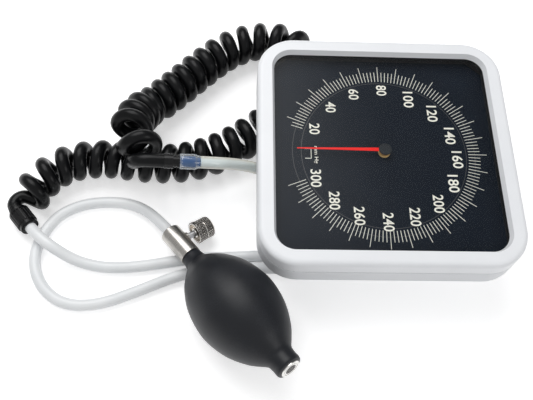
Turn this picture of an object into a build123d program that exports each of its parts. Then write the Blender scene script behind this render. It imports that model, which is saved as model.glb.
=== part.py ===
from build123d import *
from math import atan2, cos, degrees, pi, radians, sin, sqrt
import os

# Aneroid gauge lying on its back plate, with its hoses, bulb and release valve.
# Millimetres. The origin is on the surface under the middle of the case, +Z is up
# through the dial and +X is the top of the dial.

# Fits, and how far fused shapes run into each other
RUN_CLEAR = 0.05
LOOSE_CLEAR = 0.3
SOCKET_CLEAR = 0.1
FUSE = 1.0

# Case
CASE_SIDE = 165.0
CASE_CORNER_R = 25.0
CASE_WALL = 3.0
BOSS_R = 42.0
BOSS_DEPTH = 31.5
REAR_DEPTH = 15.6
BEZEL_DEPTH = 12.0
BEZEL_ROOF = 3.8
BEZEL_FILLET = 3.5
REAR_FILLET = 2.5
BOSS_FILLET = 1.0
SEAM_CHAMFER = 0.4
RIM_WIDTH = 11.2
WINDOW_CORNER_R = 12.0
WINDOW_FLARE = 1.5
LEDGE_WIDTH = 5.5
LEDGE_DEPTH = 3.0

SHELL_Z = BOSS_DEPTH
SEAM_Z = SHELL_Z + REAR_DEPTH
FRONT_Z = SEAM_Z + BEZEL_DEPTH
ROOF_Z = FRONT_Z - BEZEL_ROOF
CASE_HALF = CASE_SIDE / 2
WINDOW_HALF = CASE_HALF - RIM_WIDTH
CAVITY_HALF = CASE_HALF - CASE_WALL
CAVITY_CORNER_R = CASE_CORNER_R - CASE_WALL

# Case screws, from the back into the bezel
SCREW_INSET = 11.2
SCREW_POS = CASE_HALF - SCREW_INSET
SCREW_R = 1.25
SCREW_HEAD_R = 2.4
SCREW_HEAD_H = 2.2
SCREW_ENGAGE = 6.0
SCREW_HOLE_R = SCREW_R + 0.25
SCREW_SINK_R = SCREW_HEAD_R + LOOSE_CLEAR
SCREW_SINK_DEPTH = 3.4
SCREW_SLOT = (0.6, 0.8)
POST_R = 3.2
SCREW_BOSS_R = 4.2

# Threaded inserts for a wall bracket
INSERT_PCD = 64.0
INSERT_COUNT = 4
INSERT_R = 2.6
INSERT_BORE_R = 1.65
INSERT_LEN = 7.0
INSERT_PAD_R = 4.6
INSERT_FLOOR = 2.0

# Dial, gasket and lens
PLATE_T = 1.4
PLATE_INSET = 7.0
PLATE_POST_GAP = 0.9
LENS_T = 1.5
LENS_INSET = 7.5
LENS_POST_GAP = 0.35
GASKET_SETBACK = 0.7
GASKET_CORNER_W = 1.85
PLATE_HALF = CASE_HALF - PLATE_INSET
LENS_HALF = CASE_HALF - LENS_INSET
GASKET_BORE_HALF = WINDOW_HALF + GASKET_SETBACK
PLATE_CUT = 2 * SCREW_POS - sqrt(2) * (POST_R + PLATE_POST_GAP)
LENS_CUT = 2 * SCREW_POS - sqrt(2) * (POST_R + LENS_POST_GAP)
GASKET_BORE_CUT = LENS_CUT - sqrt(2) * GASKET_CORNER_W
PLATE_TOP = SEAM_Z + PLATE_T
LENS_Z = ROOF_Z - LENS_T

# Air port on the boss
PORT_Z = 8.5
PORT_FACE_INSET = 0.8
PORT_PAD_INSET = 6.0
PORT_PAD_R = 7.0
PORT_PAD_T = 4.0
PORT_FLANGE_R = 5.2
PORT_FLANGE_T = 3.0
PORT_SPOT_CLEAR = 0.6
PORT_SHANK_R = 3.8
PORT_BORE_R = 1.1
PORT_BARB_R = 3.4
PORT_BARB_LEN = 7.0
PORT_NUT_FLATS = 9.6
PORT_NUT_T = 3.0
PORT_SHANK_END = 1.0
PORT_TAIL_LEN = 4.0
PORT_TAIL_R = 1.5
INNER_HOSE_R = 2.5
INNER_HOSE_BORE = 1.5
PORT_FACE_X = PORT_FACE_INSET - BOSS_R
PORT_PAD_X = PORT_PAD_INSET - BOSS_R

# Pressure capsule
SEAT_R = 10.0
SEAT_TOP = 11.5
NIPPLE_R = 1.5
NIPPLE_LEN = 5.0
CAPSULE_R = 24.0
CAPSULE_H = 5.5
CAPSULE_SKIN = 0.5
CAPSULE_WAVES = 4
CAPSULE_WAVE_H = 0.7
CAPSULE_FLAT = 0.6
CAPSULE_SLOPE = 2.0
PIN_R = 2.2
PIN_H = 1.0
PIN_CHAMFER = 0.4

# Rocker between the capsule and the sector
ROCKER_X = 10.2
ROCKER_Z = 20.0
ROCKER_R = 0.9
ROCKER_Y = (-24.2, 9.6)
ROCKER_HUB_R = 1.7
ROCKER_HUB_HALF = 2.0
ROCKER_ARM_T = 1.6
ROCKER_FINGER_W = 1.2
ROCKER_COLLAR_HALF = 1.0
ROCKER_PAD_R = 1.5
ROCKER_WEIGHT_LEN = 7.9
ROCKER_WEIGHT_HALF_W = 2.0
ROCKER_WEIGHT_T = 3.0
BRACKET_Y = (-23.0, 8.0)
BRACKET_T = 1.5
BRACKET_W = 6.0
BRACKET_DROP = 5.6

# Movement frame
MOVE_R = 30.0
MOVE_Z = 24.0
MOVE_T = 1.5
MOVE_PILLAR_R = 2.5
MOVE_PILLAR_PCR = 27.5
MOVE_PILLAR_ANGLES = (90.0, 210.0, 330.0)
FINGER_SLOT_X = (2.4, 3.2)
FINGER_SLOT_HALF = 1.3
BRIDGE_Z = 34.0
BRIDGE_T = 1.2
BRIDGE_PILLAR_R = 1.8
BRIDGE_PILLARS = ((-20.0, -6.0), (-12.0, 18.0), (24.0, 1.0))
BRIDGE_OUTLINE = ((6.5, -19.5), (13.5, -22.0), (28.5, -3.0), (28.5, 5.0), (-7.0, 21.5), (-15.5, 22.0), (-24.5, -10.0))
BRIDGE_CORNER_R = 3.0
BRIDGE_HEAD_H = 1.4

# Sector and pinion
MODULE = 0.25
PINION_TEETH = 12
SECTOR_TEETH = 154
PIVOT_X = 12.0
CENTRE_DISTANCE = MODULE * (PINION_TEETH + SECTOR_TEETH) / 2
PIVOT_Y = -sqrt(CENTRE_DISTANCE ** 2 - PIVOT_X ** 2)
MESH_ANGLE = degrees(atan2(-PIVOT_Y, -PIVOT_X))
SECTOR_Z = 28.0
SECTOR_T = 1.2
SECTOR_CUT_TEETH = 14
TOOTH_TIP = 0.14
TOOTH_ROOT = 0.30
TOOTH_UP = 0.20
TOOTH_DOWN = 0.32
SECTOR_RIM_W = 1.8
SPOKE_W = 1.2
SPOKE_TURN = 2.5
SECTOR_HUB_R = 2.2
TAIL_LENGTH = 2.87
TAIL_R = 0.8
TAIL_PIN_R = 0.5
TAIL_PIN_LEN = 1.6
TOOTH_FUSE = 0.1
SHOULDER_GAP = 0.1
ARBOR_R = 0.8
PIVOT_R = 0.5
STAFF_R = 0.75
STAFF_FOOT_R = 0.4
JEWEL_R = 1.6
PINION_T = 2.0

# Hairspring
SPRING_R_IN = 2.6
SPRING_PITCH = 0.9
SPRING_TURNS = 5
SPRING_Z = 31.5
SPRING_WIRE = (0.25, 0.8)
COLLET_R = 2.0
COLLET_H = 1.4
STUD_R = 0.7

# Pointer
POINTER_Z = 52.3
POINTER_T = 0.4
POINTER_TIP_R = 57.0
POINTER_HALF_W = (1.3, 0.35)
HUB_R = 3.0
HUB_H = 1.1
CAP_R = 4.2
CAP_H = 0.8
BUSH_R = 3.9
BUSH_FLANGE_T = 1.0
BUSH_SLEEVE_R = 2.5
BUSH_CHAMFER = 0.3

# Coiled hose: control points of its middle line, its pitch and its coil radius at
# distances along that line, and the turns that are wound from it
HOSE_D = 9.0
HOSE_ROUTE = [(-238, -32, 13.4), (-231, -11, 13.4), (-213, 7, 13.4), (-186, 12, 13.4), (-156, 7, 13.5),
              (-126, 9, 14.3), (-99, 21, 14.5), (-75, 41, 14.3), (-51, 56, 14.0), (-36, 78, 14.0),
              (-41, 102, 14.0), (-60, 116, 14.0), (-84, 114, 14.6), (-104, 105, 14.6), (-123, 87, 14.6),
              (-144, 65, 14.6), (-160, 50, 15.5)]
HOSE_PITCH = [(0, 12.8), (30, 13.4), (60, 12.1), (100, 11.6), (150, 11.7), (195, 12.3), (220, 14.5),
              (275, 14.6), (310, 13.0), (360, 10.7), (400, 9.8), (470, 9.9)]
HOSE_COIL_R = [(0, 8.7), (95, 8.8), (140, 9.7), (190, 9.6), (225, 8.8), (290, 8.7), (330, 9.8), (470, 9.8)]
HOSE_PHASE = 0.25
FIRST_TURN = 1.25
LAST_TURN = 33.25
ROUTE_STEPS = 30
TURN_STEP = 0.02
# The last turns lean over and climb onto the lower stretch: a point each quarter turn
HOSE_FOLD = [(-155.8, 54.1, 24.9), (-150.8, 46.3, 18.0), (-159.0, 46.0, 8.6), (-168.6, 52.9, 18.3),
             (-161.5, 48.7, 31.2), (-153.2, 39.4, 26.0), (-162.5, 36.5, 14.5), (-173.5, 42.0, 24.5),
             (-165.7, 40.1, 35.8), (-156.2, 32.1, 31.8), (-164.5, 26.0, 21.5), (-176.5, 28.0, 31.0),
             (-167.0, 29.0, 42.0), (-156.0, 22.0, 37.0), (-162.5, 11.5, 31.0), (-169.5, 4.5, 42.0),
             (-156.0, 7.5, 50.5), (-149.0, 8.0, 37.5), (-160.0, 0.0, 32.0), (-161.5, -6.5, 43.5)]
# The bend between the union nut and the first turn, as points with directions
HOSE_LEAD = [((-238.8, -15.0, 4.9), (0.978, -0.208, 0.0)), ((-232.5, -17.9, 4.7), (0.94, -0.34, 0.0))]

# Union nut between the coiled hose and the bulb tube
UNION_CENTRE = (-235.9, -33.3, 8.5)
UNION_AXIS = (0.631, -0.754, 0.179)
UNION_LEN = 16.5
UNION_R = 5.3
UNION_SOCKET = 5.0
UNION_COLLAR_R = 6.2
UNION_COLLAR_T = 1.0
NUT_R = 6.9
NUT_RIBS = 20
NUT_RIB_R = 0.6
NUT_FLUTE_DEPTH = 0.7
NUT_STEP_R = 6.1
NUT_STEP_LEN = 2.6
NUT_CHAMFER = 0.5
NUT_BAND = 1.2
NUT_SETBACK = 0.4

# Gauge end of the coiled hose
FITTING_START = (-141.9, -8.1, 47.0)
FITTING_AXIS = (0.9911, 0.0424, -0.127)
HOSE_STRAIGHT = 9.0
HOSE_INSERT = 5.0
FERRULE_R = 4.95
FERRULE_LEN = 5.8
CRIMPS = (0.28, 0.72)
CRIMP_DEPTH = 0.2
CRIMP_W = 0.6
NECK_R = 3.6
NECK_END = 10.0
NECK_RIDGE_R = 4.2
NECK_RIDGES = (0.3, 0.75)
NECK_RIDGE_W = 1.0
BARB_R = 3.6
BARB_TIP_R = 2.9
BARB_LEN = 10.0
BARB_TIP_LEN = 3.0
BARB_BORE_R = 1.5

# Clear tube from that fitting to the port
CLEAR_R = 4.0
CLEAR_BORE_R = 2.6
CLEAR_SLEEVE_R = 5.0
CLEAR_SLOPE = 2.0
CLEAR_FIRST_RUN = 20.0
CLEAR_POINTS = [(-99.5, -2.8, 34.8), (-88.0, 0.8, 25.8), (-77.0, 2.0, 17.8), (-67.0, 1.2, 11.8)]
CLEAR_LAST_RUN = 13.3

# Grey tube from the union nut to the release valve
GREY_R = 3.8
GREY_FIRST_RUN = 7.0
GREY_POINTS = [(-222.5, -48.2, 12.7), (-214.0, -54.4, 12.4), (-202.5, -60.0, 6.8), (-190.4, -63.4, 4.0),
               (-175.9, -65.3, 4.0), (-157.9, -63.9, 4.0), (-139.7, -60.7, 4.0), (-122.1, -57.7, 4.0),
               (-95.0, -56.4, 4.0), (-72.0, -55.2, 4.0), (-46.0, -55.9, 4.0), (-18.0, -55.6, 4.0),
               (8.0, -53.6, 4.0), (24.0, -43.5, 4.0), (37.0, -30.6, 4.0), (50.2, -15.5, 4.0),
               (71.6, -14.6, 4.0), (87.3, -29.2, 4.0), (87.7, -50.7, 4.0), (72.7, -66.0, 4.0),
               (50.0, -65.7, 4.0), (27.0, -64.7, 4.0), (0.0, -64.2, 4.0), (-30.0, -65.0, 4.0),
               (-62.0, -64.0, 4.0), (-92.0, -64.2, 3.9), (-109.0, -65.2, 3.9), (-124.9, -67.6, 3.9),
               (-140.5, -73.0, 4.0), (-158.0, -80.9, 4.0),
               (-182.0, -90.4, 4.0), (-203.0, -91.0, 4.0), (-218.0, -81.5, 4.0), (-226.6, -65.8, 4.0),
               (-226.6, -48.6, 4.0), (-216.8, -29.1, 4.0), (-201.5, -20.2, 4.0), (-186.0, -17.4, 4.0),
               (-169.5, -18.2, 4.4), (-156.5, -23.8, 6.4)]
GREY_LAST_RUN = 13.0

# Release valve and bulb, along one axis
VALVE_START = (-138.5, -43.0, 12.1)
BULB_AXIS = (0.6045, -0.7661, 0.2170)
VALVE_R = 7.0
VALVE_LEN = 24.2
VALVE_SOCKET = 4.0
VALVE_BORE_R = 1.6
VALVE_EDGE = 0.6
KNOB_AT = 9.5
KNOB_TILT = 12.0
NEEDLE_TIP_R = 0.5
NEEDLE_FROM = 1.0
NEEDLE_CONE = 2.0
STEM_R = 2.2
GLAND_R = 3.4
GLAND_FROM = 4.5
GLAND_TO = 7.6
KNOB_R = 7.2
KNOB_RIM_R = 7.6
KNOB_FROM = 13.0
KNOB_RIM_T = 1.8
KNOB_BAND = 4.1
KNOB_GROOVE = 0.8
KNOB_NOSE = 1.6
KNOB_WALL = 1.3
KNOB_RECESS = 6.0
KNOB_FLOOR = 1.5
KNOB_SPINE_WALL = 0.9
KNOB_GROOVE_DEPTH = 0.5
KNOB_NOSE_STEP = 0.3
KNOB_NOSE_CHAMFER = 1.12
KNURLS = 36
KNURL_R = 0.35

BULB_WALL = 2.2
BULB_PROFILE = [(0.0, 6.6), (4.0, 7.2), (8.0, 8.9), (12.0, 12.4), (20.0, 18.8), (32.0, 24.4), (48.0, 27.2),
                (60.0, 26.0), (70.0, 22.9), (80.0, 17.6), (87.0, 12.1), (91.0, 9.2), (95.0, 8.5), (100.0, 8.5)]
BULB_HOLLOW = (8.0, 88.0)
BULB_SPIGOT_R = 4.2
BULB_SPIGOT_LEN = 8.0
FLAP_R = 2.6
FLAP_T = 0.6

# Inlet valve in the far end of the bulb
INLET_R = 4.4
INLET_FLANGE_R = 6.4
INLET_FLANGE_T = 0.9
INLET_LEN = 12.0
INLET_GROOVE_R = (4.9, 4.5)
INLET_GROOVE_DEPTH = 0.3
INLET_EDGE = 0.3
BALL_R = 2.0
BALL_TRAVEL = 1.0
BALL_CAGE_R = 2.35
BALL_CAGE_T = 1.0
BALL_CAGE_GAP = 0.2
BALL_CAGE_HOLE = (0.5, 1.4)
CHAMBER_TOP = 4.0
INLET_HOLE_R = 1.2
SCREEN_R = 3.6
SCREEN_T = 0.5
SCREEN_HOLE_R = 0.42
SCREEN_RING_R = 2.2
SCREEN_HOLES = 8


# Small helpers

def save(node, shape):
    """Write one named sub-part."""
    export_step(shape, f"parts/{node}.step")


def block(x0, x1, y0, y1, z0, z1):
    """Box between two corners."""
    centre = Pos((x0 + x1) / 2, (y0 + y1) / 2, (z0 + z1) / 2)
    return centre * Box(x1 - x0, y1 - y0, z1 - z0)


def rod(radius, z0, z1, x=0.0, y=0.0):
    """Upright cylinder between two heights."""
    return Pos(x, y, (z0 + z1) / 2) * Cylinder(radius, z1 - z0)


def ring(outer, inner, z0, z1, x=0.0, y=0.0):
    """Upright hollow cylinder."""
    return rod(outer, z0, z1, x, y) - rod(inner, z0, z1, x, y)


def rounded_slab(half, corner_r, z0, z1):
    """Square slab with rounded corners."""
    return extrude(Pos(0, 0, z0) * RectangleRounded(2 * half, 2 * half, corner_r), z1 - z0)


def cut_corner_slab(half, cut, z0, z1):
    """Square slab whose corners are cut along x + y = cut."""
    short = cut - half
    corners = [(half, short), (short, half), (-short, half), (-half, short),
               (-half, -short), (-short, -half), (short, -half), (half, -short)]
    return extrude(Pos(0, 0, z0) * Polygon(*corners, align=None), z1 - z0)


def four(shape_at):
    """Four copies, one in each quarter of the case."""
    return [shape_at(sx * SCREW_POS, sy * SCREW_POS) for sx in (-1, 1) for sy in (-1, 1)]


def frame_on(origin, axis, across=None):
    """Plane whose +Z is the given axis."""
    if across is None:
        return Plane(origin=origin, z_dir=axis)
    return Plane(origin=origin, x_dir=across, z_dir=axis)


def along_x(x0, x1, radius, z=PORT_Z):
    """Cylinder along the X axis between two places."""
    return Pos((x0 + x1) / 2, 0, z) * Rot(0, 90, 0) * Cylinder(radius, x1 - x0)


def hexagon(flats, z0, z1):
    """Upright hexagonal prism by its width across the flats."""
    return extrude(Pos(0, 0, z0) * RegularPolygon(flats / 2, 6, major_radius=False, rotation=30), z1 - z0)


def route_radii(points):
    """Corner radii, each 0.45 of the shorter run over the tangent of half the turn."""
    radii = []
    for before, here, after in zip(points, points[1:], points[2:]):
        first = Vector(*here) - Vector(*before)
        second = Vector(*after) - Vector(*here)
        half_turn = radians(first.get_angle(second)) / 2
        radii.append(0.45 * min(first.length, second.length) * cos(half_turn) / sin(half_turn))
    return radii


def tube_path(name, points, diameter):
    """Straight runs joined by tangent arcs, with the least radius printed."""
    radii = route_radii(points)
    print(name, "radii", [round(r, 1) for r in radii], "least in diameters", round(min(radii) / diameter, 2))
    return FilletPolyline(*points, radius=radii)


def swept_disc(path, radius):
    """Round bar along a path."""
    start = Plane(origin=path @ 0, z_dir=path % 0)
    return sweep(start * Circle(radius), path=path)


def swept_tube(path, radius):
    """Round bar along a path, with its volume printed against section times length."""
    bar = swept_disc(path, radius)
    expected = pi * radius ** 2 * path.length
    print("volume", round(bar.volume, 1), "expected", round(expected, 1), "length", round(path.length, 1))
    return bar


# Case

def rear_case():
    """Rear shell: square pan over a round boss, with the dial ledge and screw posts."""
    pan = rounded_slab(CASE_HALF, CASE_CORNER_R, SHELL_Z, SEAM_Z)
    pan = fillet(pan.edges().group_by(Axis.Z)[0], REAR_FILLET)
    pan = chamfer(pan.edges().group_by(Axis.Z)[-1], SEAM_CHAMFER)
    boss = rod(BOSS_R, 0, SHELL_Z + CASE_WALL)
    boss = fillet(boss.edges().group_by(Axis.Z)[0], BOSS_FILLET)
    shell = pan + boss
    shell -= rounded_slab(CAVITY_HALF, CAVITY_CORNER_R, SHELL_Z + CASE_WALL, SEAM_Z)
    shell -= rod(BOSS_R - CASE_WALL, CASE_WALL, SHELL_Z + CASE_WALL)
    ledge_half = CAVITY_HALF - LEDGE_WIDTH
    ledge = rounded_slab(CAVITY_HALF, CAVITY_CORNER_R, SEAM_Z - LEDGE_DEPTH, SEAM_Z)
    ledge -= rounded_slab(ledge_half, CAVITY_CORNER_R - LEDGE_WIDTH, SEAM_Z - LEDGE_DEPTH, SEAM_Z)
    shell += ledge
    for post in four(lambda x, y: rod(SCREW_BOSS_R, SHELL_Z, SEAM_Z, x, y)):
        shell += post
    for hole in four(lambda x, y: rod(SCREW_HOLE_R, SHELL_Z, SEAM_Z, x, y)):
        shell -= hole
    for sink in four(lambda x, y: rod(SCREW_SINK_R, SHELL_Z, SHELL_Z + SCREW_SINK_DEPTH, x, y)):
        shell -= sink
    for angle in insert_angles():
        x, y = insert_place(angle)
        shell += rod(INSERT_PAD_R, CASE_WALL, INSERT_LEN + INSERT_FLOOR, x, y)
        shell -= rod(INSERT_R, 0, INSERT_LEN, x, y)
    inside = rod(BOSS_R - FUSE / 2, CASE_WALL - FUSE, SHELL_Z)
    shell += along_x(PORT_PAD_X - PORT_PAD_T, PORT_PAD_X, PORT_PAD_R) & inside
    shell -= along_x(-BOSS_R - FUSE, PORT_FACE_X, PORT_FLANGE_R + PORT_SPOT_CLEAR)
    shell -= along_x(-BOSS_R - FUSE, PORT_PAD_X + FUSE, PORT_SHANK_R)
    return shell


def insert_angles():
    """Angles of the threaded inserts."""
    return [45.0 + 360.0 / INSERT_COUNT * i for i in range(INSERT_COUNT)]


def insert_place(angle):
    """Centre of one insert."""
    return INSERT_PCD / 2 * cos(radians(angle)), INSERT_PCD / 2 * sin(radians(angle))


def mount_inserts():
    """Brass threaded inserts in the back."""
    return Compound(children=[ring(INSERT_R, INSERT_BORE_R, 0, INSERT_LEN, *insert_place(a)) for a in insert_angles()])


def front_bezel():
    """Front shell with the flared window and the screw posts."""
    shell = rounded_slab(CASE_HALF, CASE_CORNER_R, SEAM_Z, FRONT_Z)
    shell = fillet(shell.edges().group_by(Axis.Z)[-1], BEZEL_FILLET)
    shell = chamfer(shell.edges().group_by(Axis.Z)[0], SEAM_CHAMFER)
    shell -= rounded_slab(CAVITY_HALF, CAVITY_CORNER_R, SEAM_Z, ROOF_Z)
    side = 2 * WINDOW_HALF
    wide = side + 2 * WINDOW_FLARE
    low = Pos(0, 0, ROOF_Z) * RectangleRounded(side, side, WINDOW_CORNER_R)
    high = Pos(0, 0, FRONT_Z) * RectangleRounded(wide, wide, WINDOW_CORNER_R + WINDOW_FLARE)
    shell -= loft([low, high])
    for post in four(lambda x, y: rod(POST_R, SEAM_Z, ROOF_Z, x, y)):
        shell += post
    for pilot in four(lambda x, y: rod(SCREW_R, SEAM_Z, SEAM_Z + SCREW_ENGAGE + FUSE, x, y)):
        shell -= pilot
    return shell


def case_screw(x, y):
    """One slotted cheese-head screw, driven from the back."""
    seat_z = SHELL_Z + SCREW_SINK_DEPTH
    head = rod(SCREW_HEAD_R, seat_z - SCREW_HEAD_H, seat_z, x, y)
    width, depth = SCREW_SLOT
    low = seat_z - SCREW_HEAD_H
    head -= block(x - SCREW_HEAD_R, x + SCREW_HEAD_R, y - width / 2, y + width / 2, low, low + depth)
    return head + rod(SCREW_R, seat_z, SEAM_Z + SCREW_ENGAGE, x, y)


def case_screws():
    """The four case screws."""
    return Compound(children=four(case_screw))


def dial_plate():
    """Dial plate on the ledge."""
    return cut_corner_slab(PLATE_HALF, PLATE_CUT, SEAM_Z, PLATE_TOP) - rod(BUSH_SLEEVE_R, SEAM_Z, PLATE_TOP)


def lens_gasket():
    """Frame that spaces the lens from the dial."""
    outer = cut_corner_slab(LENS_HALF, LENS_CUT, PLATE_TOP, LENS_Z)
    return outer - cut_corner_slab(GASKET_BORE_HALF, GASKET_BORE_CUT, PLATE_TOP, LENS_Z)


def lens():
    """Clear lens under the bezel roof."""
    return cut_corner_slab(LENS_HALF, LENS_CUT, LENS_Z, ROOF_Z)


# Air port

def tube_port():
    """Port with its flange, outer barb, shank and inner nipple."""
    barb_end = PORT_FACE_X - PORT_FLANGE_T - PORT_BARB_LEN
    body = along_x(PORT_FACE_X - PORT_FLANGE_T, PORT_FACE_X, PORT_FLANGE_R)
    body += along_x(barb_end, PORT_FACE_X, PORT_BARB_R)
    tail_end = inner_hose_start() + PORT_TAIL_LEN
    body += along_x(PORT_FACE_X, inner_hose_start(), PORT_SHANK_R)
    body += along_x(PORT_PAD_X, tail_end, PORT_TAIL_R)
    return body - along_x(barb_end, tail_end, PORT_BORE_R)


def inner_hose_start():
    """Where the inner hose meets the port's shank."""
    return PORT_PAD_X + PORT_NUT_T + PORT_SHANK_END


def port_nut():
    """Hexagonal nut inside the boss."""
    turned = Pos(PORT_PAD_X, 0, PORT_Z) * Rot(0, 90, 0)
    return turned * (hexagon(PORT_NUT_FLATS, 0, PORT_NUT_T) - rod(PORT_SHANK_R, 0, PORT_NUT_T))


def inner_hose():
    """Short hose from the port to the capsule seat."""
    end = -SEAT_R
    return along_x(inner_hose_start(), end, INNER_HOSE_R) - along_x(inner_hose_start(), end, INNER_HOSE_BORE)


# Pressure capsule

def capsule_seat():
    """Brass seat with the nipple."""
    seat = rod(SEAT_R, CASE_WALL, SEAT_TOP)
    seat += along_x(-SEAT_R - NIPPLE_LEN, -SEAT_R + FUSE, NIPPLE_R)
    seat -= along_x(-SEAT_R - NIPPLE_LEN, 0, PORT_BORE_R)
    return seat - rod(PORT_BORE_R, PORT_Z, SEAT_TOP)


def diaphragm_line(flat_z, direction):
    """Line of one skin: flat in the middle, then corrugated out to the rim's slope."""
    flat_r = PIN_R + CAPSULE_FLAT
    reach = CAPSULE_R - CAPSULE_SLOPE - flat_r
    steps = CAPSULE_WAVES * 4
    points = [(0, flat_z), (flat_r, flat_z)]
    for i in range(1, steps + 1):
        dip = CAPSULE_WAVE_H / 2 * (1 - cos(2 * pi * CAPSULE_WAVES * i / steps))
        points.append((flat_r + reach * i / steps, flat_z - direction * dip))
    return points


def capsule():
    """Two corrugated skins joined at the rim, with the air hole in the lower one."""
    mid = SEAT_TOP + CAPSULE_H / 2
    top = diaphragm_line(SEAT_TOP + CAPSULE_H, 1)
    bottom = [(PORT_BORE_R, SEAT_TOP)] + diaphragm_line(SEAT_TOP, -1)[1:]
    rim = [(CAPSULE_R, mid + CAPSULE_SKIN), (CAPSULE_R, mid - CAPSULE_SKIN)]
    inner_top = [(r, z - CAPSULE_SKIN) for r, z in top]
    inner_bottom = [(r, z + CAPSULE_SKIN) for r, z in bottom]
    outline = top + rim + bottom[::-1] + inner_bottom + inner_top[::-1]
    return revolve(Plane.XZ * Polygon(*outline, align=None), Axis.Z)


def push_pin():
    """Pin on the moving skin."""
    base = SEAT_TOP + CAPSULE_H
    pin = rod(PIN_R, base, base + PIN_H)
    return chamfer(pin.edges().group_by(Axis.Z)[-1], PIN_CHAMFER)


# Rocker

def bar_along_y(radius, y0, y1, x=ROCKER_X, z=ROCKER_Z):
    """Cylinder along Y."""
    return Pos(x, (y0 + y1) / 2, z) * Rot(90, 0, 0) * Cylinder(radius, y1 - y0)


def rocker_shaft():
    """Balanced shaft with the arm over the pin and the arm behind the sector's tail."""
    shaft = bar_along_y(ROCKER_R, *ROCKER_Y)
    pin_top = SEAT_TOP + CAPSULE_H + PIN_H
    half = ROCKER_ARM_T / 2
    shaft += bar_along_y(ROCKER_HUB_R, -ROCKER_HUB_HALF, ROCKER_HUB_HALF)
    shaft += block(0, ROCKER_X, -ROCKER_PAD_R, ROCKER_PAD_R, ROCKER_Z - half, ROCKER_Z + half)
    shaft += rod(ROCKER_PAD_R, pin_top + LOOSE_CLEAR, ROCKER_Z + half)
    arm_y = PIVOT_Y - TAIL_LENGTH
    shaft += bar_along_y(ROCKER_HUB_R, arm_y - ROCKER_COLLAR_HALF, arm_y + ROCKER_COLLAR_HALF)
    right = PIVOT_X - TAIL_PIN_R - LOOSE_CLEAR
    shaft += block(right - ROCKER_ARM_T, right, arm_y - ROCKER_FINGER_W / 2, arm_y + ROCKER_FINGER_W / 2,
                   ROCKER_Z, SECTOR_Z - LOOSE_CLEAR)
    weight_end = ROCKER_X + ROCKER_WEIGHT_LEN
    shaft += block(ROCKER_X, weight_end, -ROCKER_WEIGHT_HALF_W, ROCKER_WEIGHT_HALF_W,
                   ROCKER_Z - half, ROCKER_Z - half + ROCKER_WEIGHT_T)
    return shaft


def rocker_brackets():
    """Two bearing plates under the movement plate."""
    plates = []
    for y in BRACKET_Y:
        plate = block(ROCKER_X - BRACKET_W / 2, ROCKER_X + BRACKET_W / 2, y - BRACKET_T / 2, y + BRACKET_T / 2,
                      MOVE_Z - BRACKET_DROP, MOVE_Z)
        plates.append(plate - bar_along_y(ROCKER_R + RUN_CLEAR, y - BRACKET_T, y + BRACKET_T))
    return Compound(children=plates)


# Movement frame

def pillar_places():
    """Centres of the pillars under the movement plate."""
    return [(MOVE_PILLAR_PCR * cos(radians(a)), MOVE_PILLAR_PCR * sin(radians(a))) for a in MOVE_PILLAR_ANGLES]


def plate_pillars():
    """Pillars from the case floor to the movement plate."""
    return Compound(children=[rod(MOVE_PILLAR_R, CASE_WALL, MOVE_Z, x, y) for x, y in pillar_places()])


def movement_plate():
    """Lower plate of the movement."""
    plate = rod(MOVE_R, MOVE_Z, MOVE_Z + MOVE_T)
    plate -= rod(JEWEL_R, MOVE_Z, MOVE_Z + MOVE_T)
    plate -= rod(PIVOT_R + RUN_CLEAR, MOVE_Z, MOVE_Z + MOVE_T, PIVOT_X, PIVOT_Y)
    arm_y = PIVOT_Y - TAIL_LENGTH
    left, right = FINGER_SLOT_X
    return plate - block(ROCKER_X - left, ROCKER_X + right, arm_y - FINGER_SLOT_HALF, arm_y + FINGER_SLOT_HALF,
                         MOVE_Z, MOVE_Z + MOVE_T)


def bridge_plate():
    """Upper plate of the movement."""
    outline = Polygon(*BRIDGE_OUTLINE, align=None)
    outline = fillet(outline.vertices(), BRIDGE_CORNER_R)
    plate = extrude(Pos(0, 0, BRIDGE_Z) * outline, BRIDGE_T)
    plate -= rod(JEWEL_R, BRIDGE_Z, BRIDGE_Z + BRIDGE_T)
    return plate - rod(PIVOT_R + RUN_CLEAR, BRIDGE_Z, BRIDGE_Z + BRIDGE_T, PIVOT_X, PIVOT_Y)


def bridge_pillars():
    """Pillars between the two plates."""
    return Compound(children=[rod(BRIDGE_PILLAR_R, MOVE_Z + MOVE_T, BRIDGE_Z, x, y) for x, y in BRIDGE_PILLARS])


def bridge_screws():
    """Cheese-head screws on the bridge plate."""
    screws = []
    top = BRIDGE_Z + BRIDGE_T
    width, depth = SCREW_SLOT
    for x, y in BRIDGE_PILLARS:
        head = rod(BRIDGE_PILLAR_R, top, top + BRIDGE_HEAD_H, x, y)
        head -= block(x - BRIDGE_PILLAR_R, x + BRIDGE_PILLAR_R, y - width / 2, y + width / 2,
                      top + BRIDGE_HEAD_H - depth, top + BRIDGE_HEAD_H)
        screws.append(head)
    return Compound(children=screws)


def staff_jewels():
    """Bearings of the pointer staff in both plates."""
    lower = ring(JEWEL_R, STAFF_FOOT_R + RUN_CLEAR, MOVE_Z, MOVE_Z + MOVE_T)
    upper = ring(JEWEL_R, STAFF_R + RUN_CLEAR, BRIDGE_Z, BRIDGE_Z + BRIDGE_T)
    return Compound(children=[lower, upper])


# Gears

def tooth(pitch_r, angle):
    """Outline of one tooth, its middle at an angle on the pitch circle."""
    root = pitch_r - TOOTH_DOWN - TOOTH_FUSE
    tip = pitch_r + TOOTH_UP
    profile = Polygon((root, -TOOTH_ROOT / 2), (tip, -TOOTH_TIP / 2), (tip, TOOTH_TIP / 2),
                      (root, TOOTH_ROOT / 2), align=None)
    return Rot(0, 0, angle) * profile


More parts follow.
